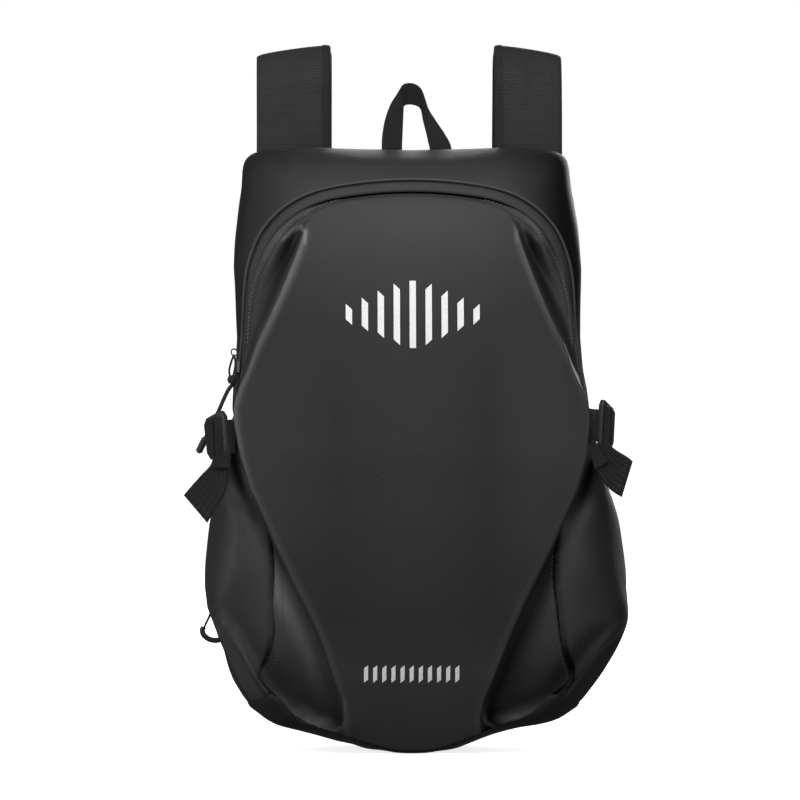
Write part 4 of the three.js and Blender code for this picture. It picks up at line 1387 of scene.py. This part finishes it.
for side, (middle, lengthways, upwards, slope) in buckle_places.items():
    buckle = rounded_plate("buckle_" + side, "buckle_moulded_" + side, 0.9 * mm)
    middle = Vector(middle) * mm
    lengthways = Vector(lengthways).normalized()
    outwards = lengthways.cross(Vector(upwards)).normalized()
    if outwards.y > 0:
        outwards = -outwards
    upwards = Vector(upwards).normalized()
    round_back(buckle, middle, lengthways, upwards, slope)
    finish_piece(buckle, moulded, "black_plastic", "buckle_" + side)
    stand = middle + outwards * loop_stand
    loops = [web_loop(stand + lengthways * along, lengthways, upwards, outwards) for along in loop_places]
    loop = join(loops, "web_loops_" + side)
    round_back(loop, middle, lengthways, upwards, slope)
    weave_map(loop, flat_map(upwards, lengthways))
    finish_piece(loop, webbing, "webbing")


# Lower fittings of the shoulder straps
# A moulded plastic ladder buckle is sewn to the end of each strap and takes the lower webbing, which
# runs down to a tab at the base.
for side, sign in sides.items():
    adjuster = rounded_plate("strap_adjuster_" + side, "strap_adjuster_moulded_" + side, 0.7 * mm)
    hang_strap(adjuster, sign, strap_places[side][0], 1)
    finish_piece(adjuster, moulded, "black_plastic", "strap_adjuster_" + side)


# Slider and its pull
# The painted slider holds a wire ring. A loop of thin cord hangs from the ring into a knot, and the
# braided cord leads on to a ribbed rubber tip.
painted = plain_black("painted_metal", 0.02, 0.38, 1200, 0.05 * mm)
rubber = plain_black("moulded_rubber", 0.012, 0.62, 1600, 0.15 * mm)
slider = rounded_plate("zip_slider", "zip_slider_painted", 0.7 * mm)
lean_over(slider)
finish_piece(slider, painted, "black_metal", "zip_slider")
ring = start_from(
    bpy.ops.mesh.primitive_torus_add, "pull_ring",
    location=Vector((-141.2, -43.4, 318.6)) * mm, rotation=(math.radians(80), 0, math.radians(25)),
    major_segments=28, minor_segments=10, major_radius=2.7 * mm, minor_radius=0.6 * mm,
)
shade(ring)
finish_piece(ring, painted, "black_metal")

knot_middle = Vector((-143.4, -43.4, 297)) * mm
strand_points = [
    Vector((-141.4, -44.4, 316.6)) * mm,
    Vector((-140.3, -45.4, 311)) * mm,
    Vector((-141.2, -45.2, 303.5)) * mm,
    knot_middle,
    Vector((-145.2, -44.6, 303.5)) * mm,
    Vector((-143.6, -44.6, 311)) * mm,
]
strand_route = smooth_route(strand_points + strand_points[:1], 6)[:-1]
strand = round_cord("pull_strand", strand_route, 0.9 * mm, 2, True)
finish_piece(strand, cord_finish, "cord")

knot_turns = 3
knot_steps = 16
knot_height = 5.4 * mm
knot_wide = 2.3 * mm
knot_narrow = 1.4 * mm
knot_last = knot_turns * knot_steps
knot_route = []
for step in range(knot_last + 1):
    turn = 2 * math.pi * step / knot_steps
    rise = (step / knot_last - 0.5) * knot_height
    wide = knot_wide + (knot_narrow - knot_wide) * abs(rise) / (knot_height / 2)
    knot_route.append(knot_middle + Vector((math.cos(turn) * wide, math.sin(turn) * wide, -rise)))
knot = round_cord("pull_knot", knot_route, 1.3 * mm, 2)
finish_piece(knot, cord_finish, "cord")

tip_way = (pull_points[-1] - pull_points[-2]).normalized()
tip_length = 14 * mm
tip_radius = 3 * mm
tip_steps = 28
tip_end = 0.55
tip_rounding = 3
groove_share = 0.86
tip_start = pull_points[-1] + tip_way * 0.3 * mm
tip_route = [tip_start + tip_way * tip_length * i / tip_steps for i in range(tip_steps + 1)]
tip_line = line_of("pull_tip_ribbed", tip_route)
for i, spot in enumerate(tip_line.data.splines[0].points):
    body = tip_end + (1 - tip_end) * min(i, tip_steps - i) / tip_rounding
    spot.radius = min(body, 1) * (groove_share if i % 4 in (2, 3) else 1)
tip = thickened(tip_line, tip_radius, 4, 40)
finish_piece(tip, rubber, "black_rubber", "pull_tip")


# Pulls of the side pockets
# A thin braided cord hangs at each lower side. A curved grip of moulded rubber is fixed to its end, in
# line with it.
pocket_depth = 30.3
pocket_cords = {
    "left": [(-159.4, 112), (-162.6, 104), (-166.0, 97), (-167.2, 94.6)],
    "right": [(165.2, 112), (165, 103), (163.2, 94)],
}
pocket_grips = {
    "left": [(-166.6, 97), (-167.6, 94), (-166, 90), (-161.6, 87), (-156, 86.2), (-150.4, 87.6)],
    "right": [(163, 93), (162.4, 89), (161, 84), (159.4, 79.5), (158.4, 76.5)],
}
for side in sides:
    for node, name, points, radius, finish, slot in (
        ("pocket_cord_", "pocket_cord_thin_", pocket_cords[side], 1.0, cord_finish, "cord"),
        ("pocket_grip_", "pocket_grip_moulded_", pocket_grips[side], 2.3, rubber, "black_rubber"),
    ):
        route = smooth_route([Vector((x, pocket_depth, z)) * mm for x, z in points], 5)
        piece = round_cord(name + side, route, radius * mm)
        finish_piece(piece, finish, slot, node + side)
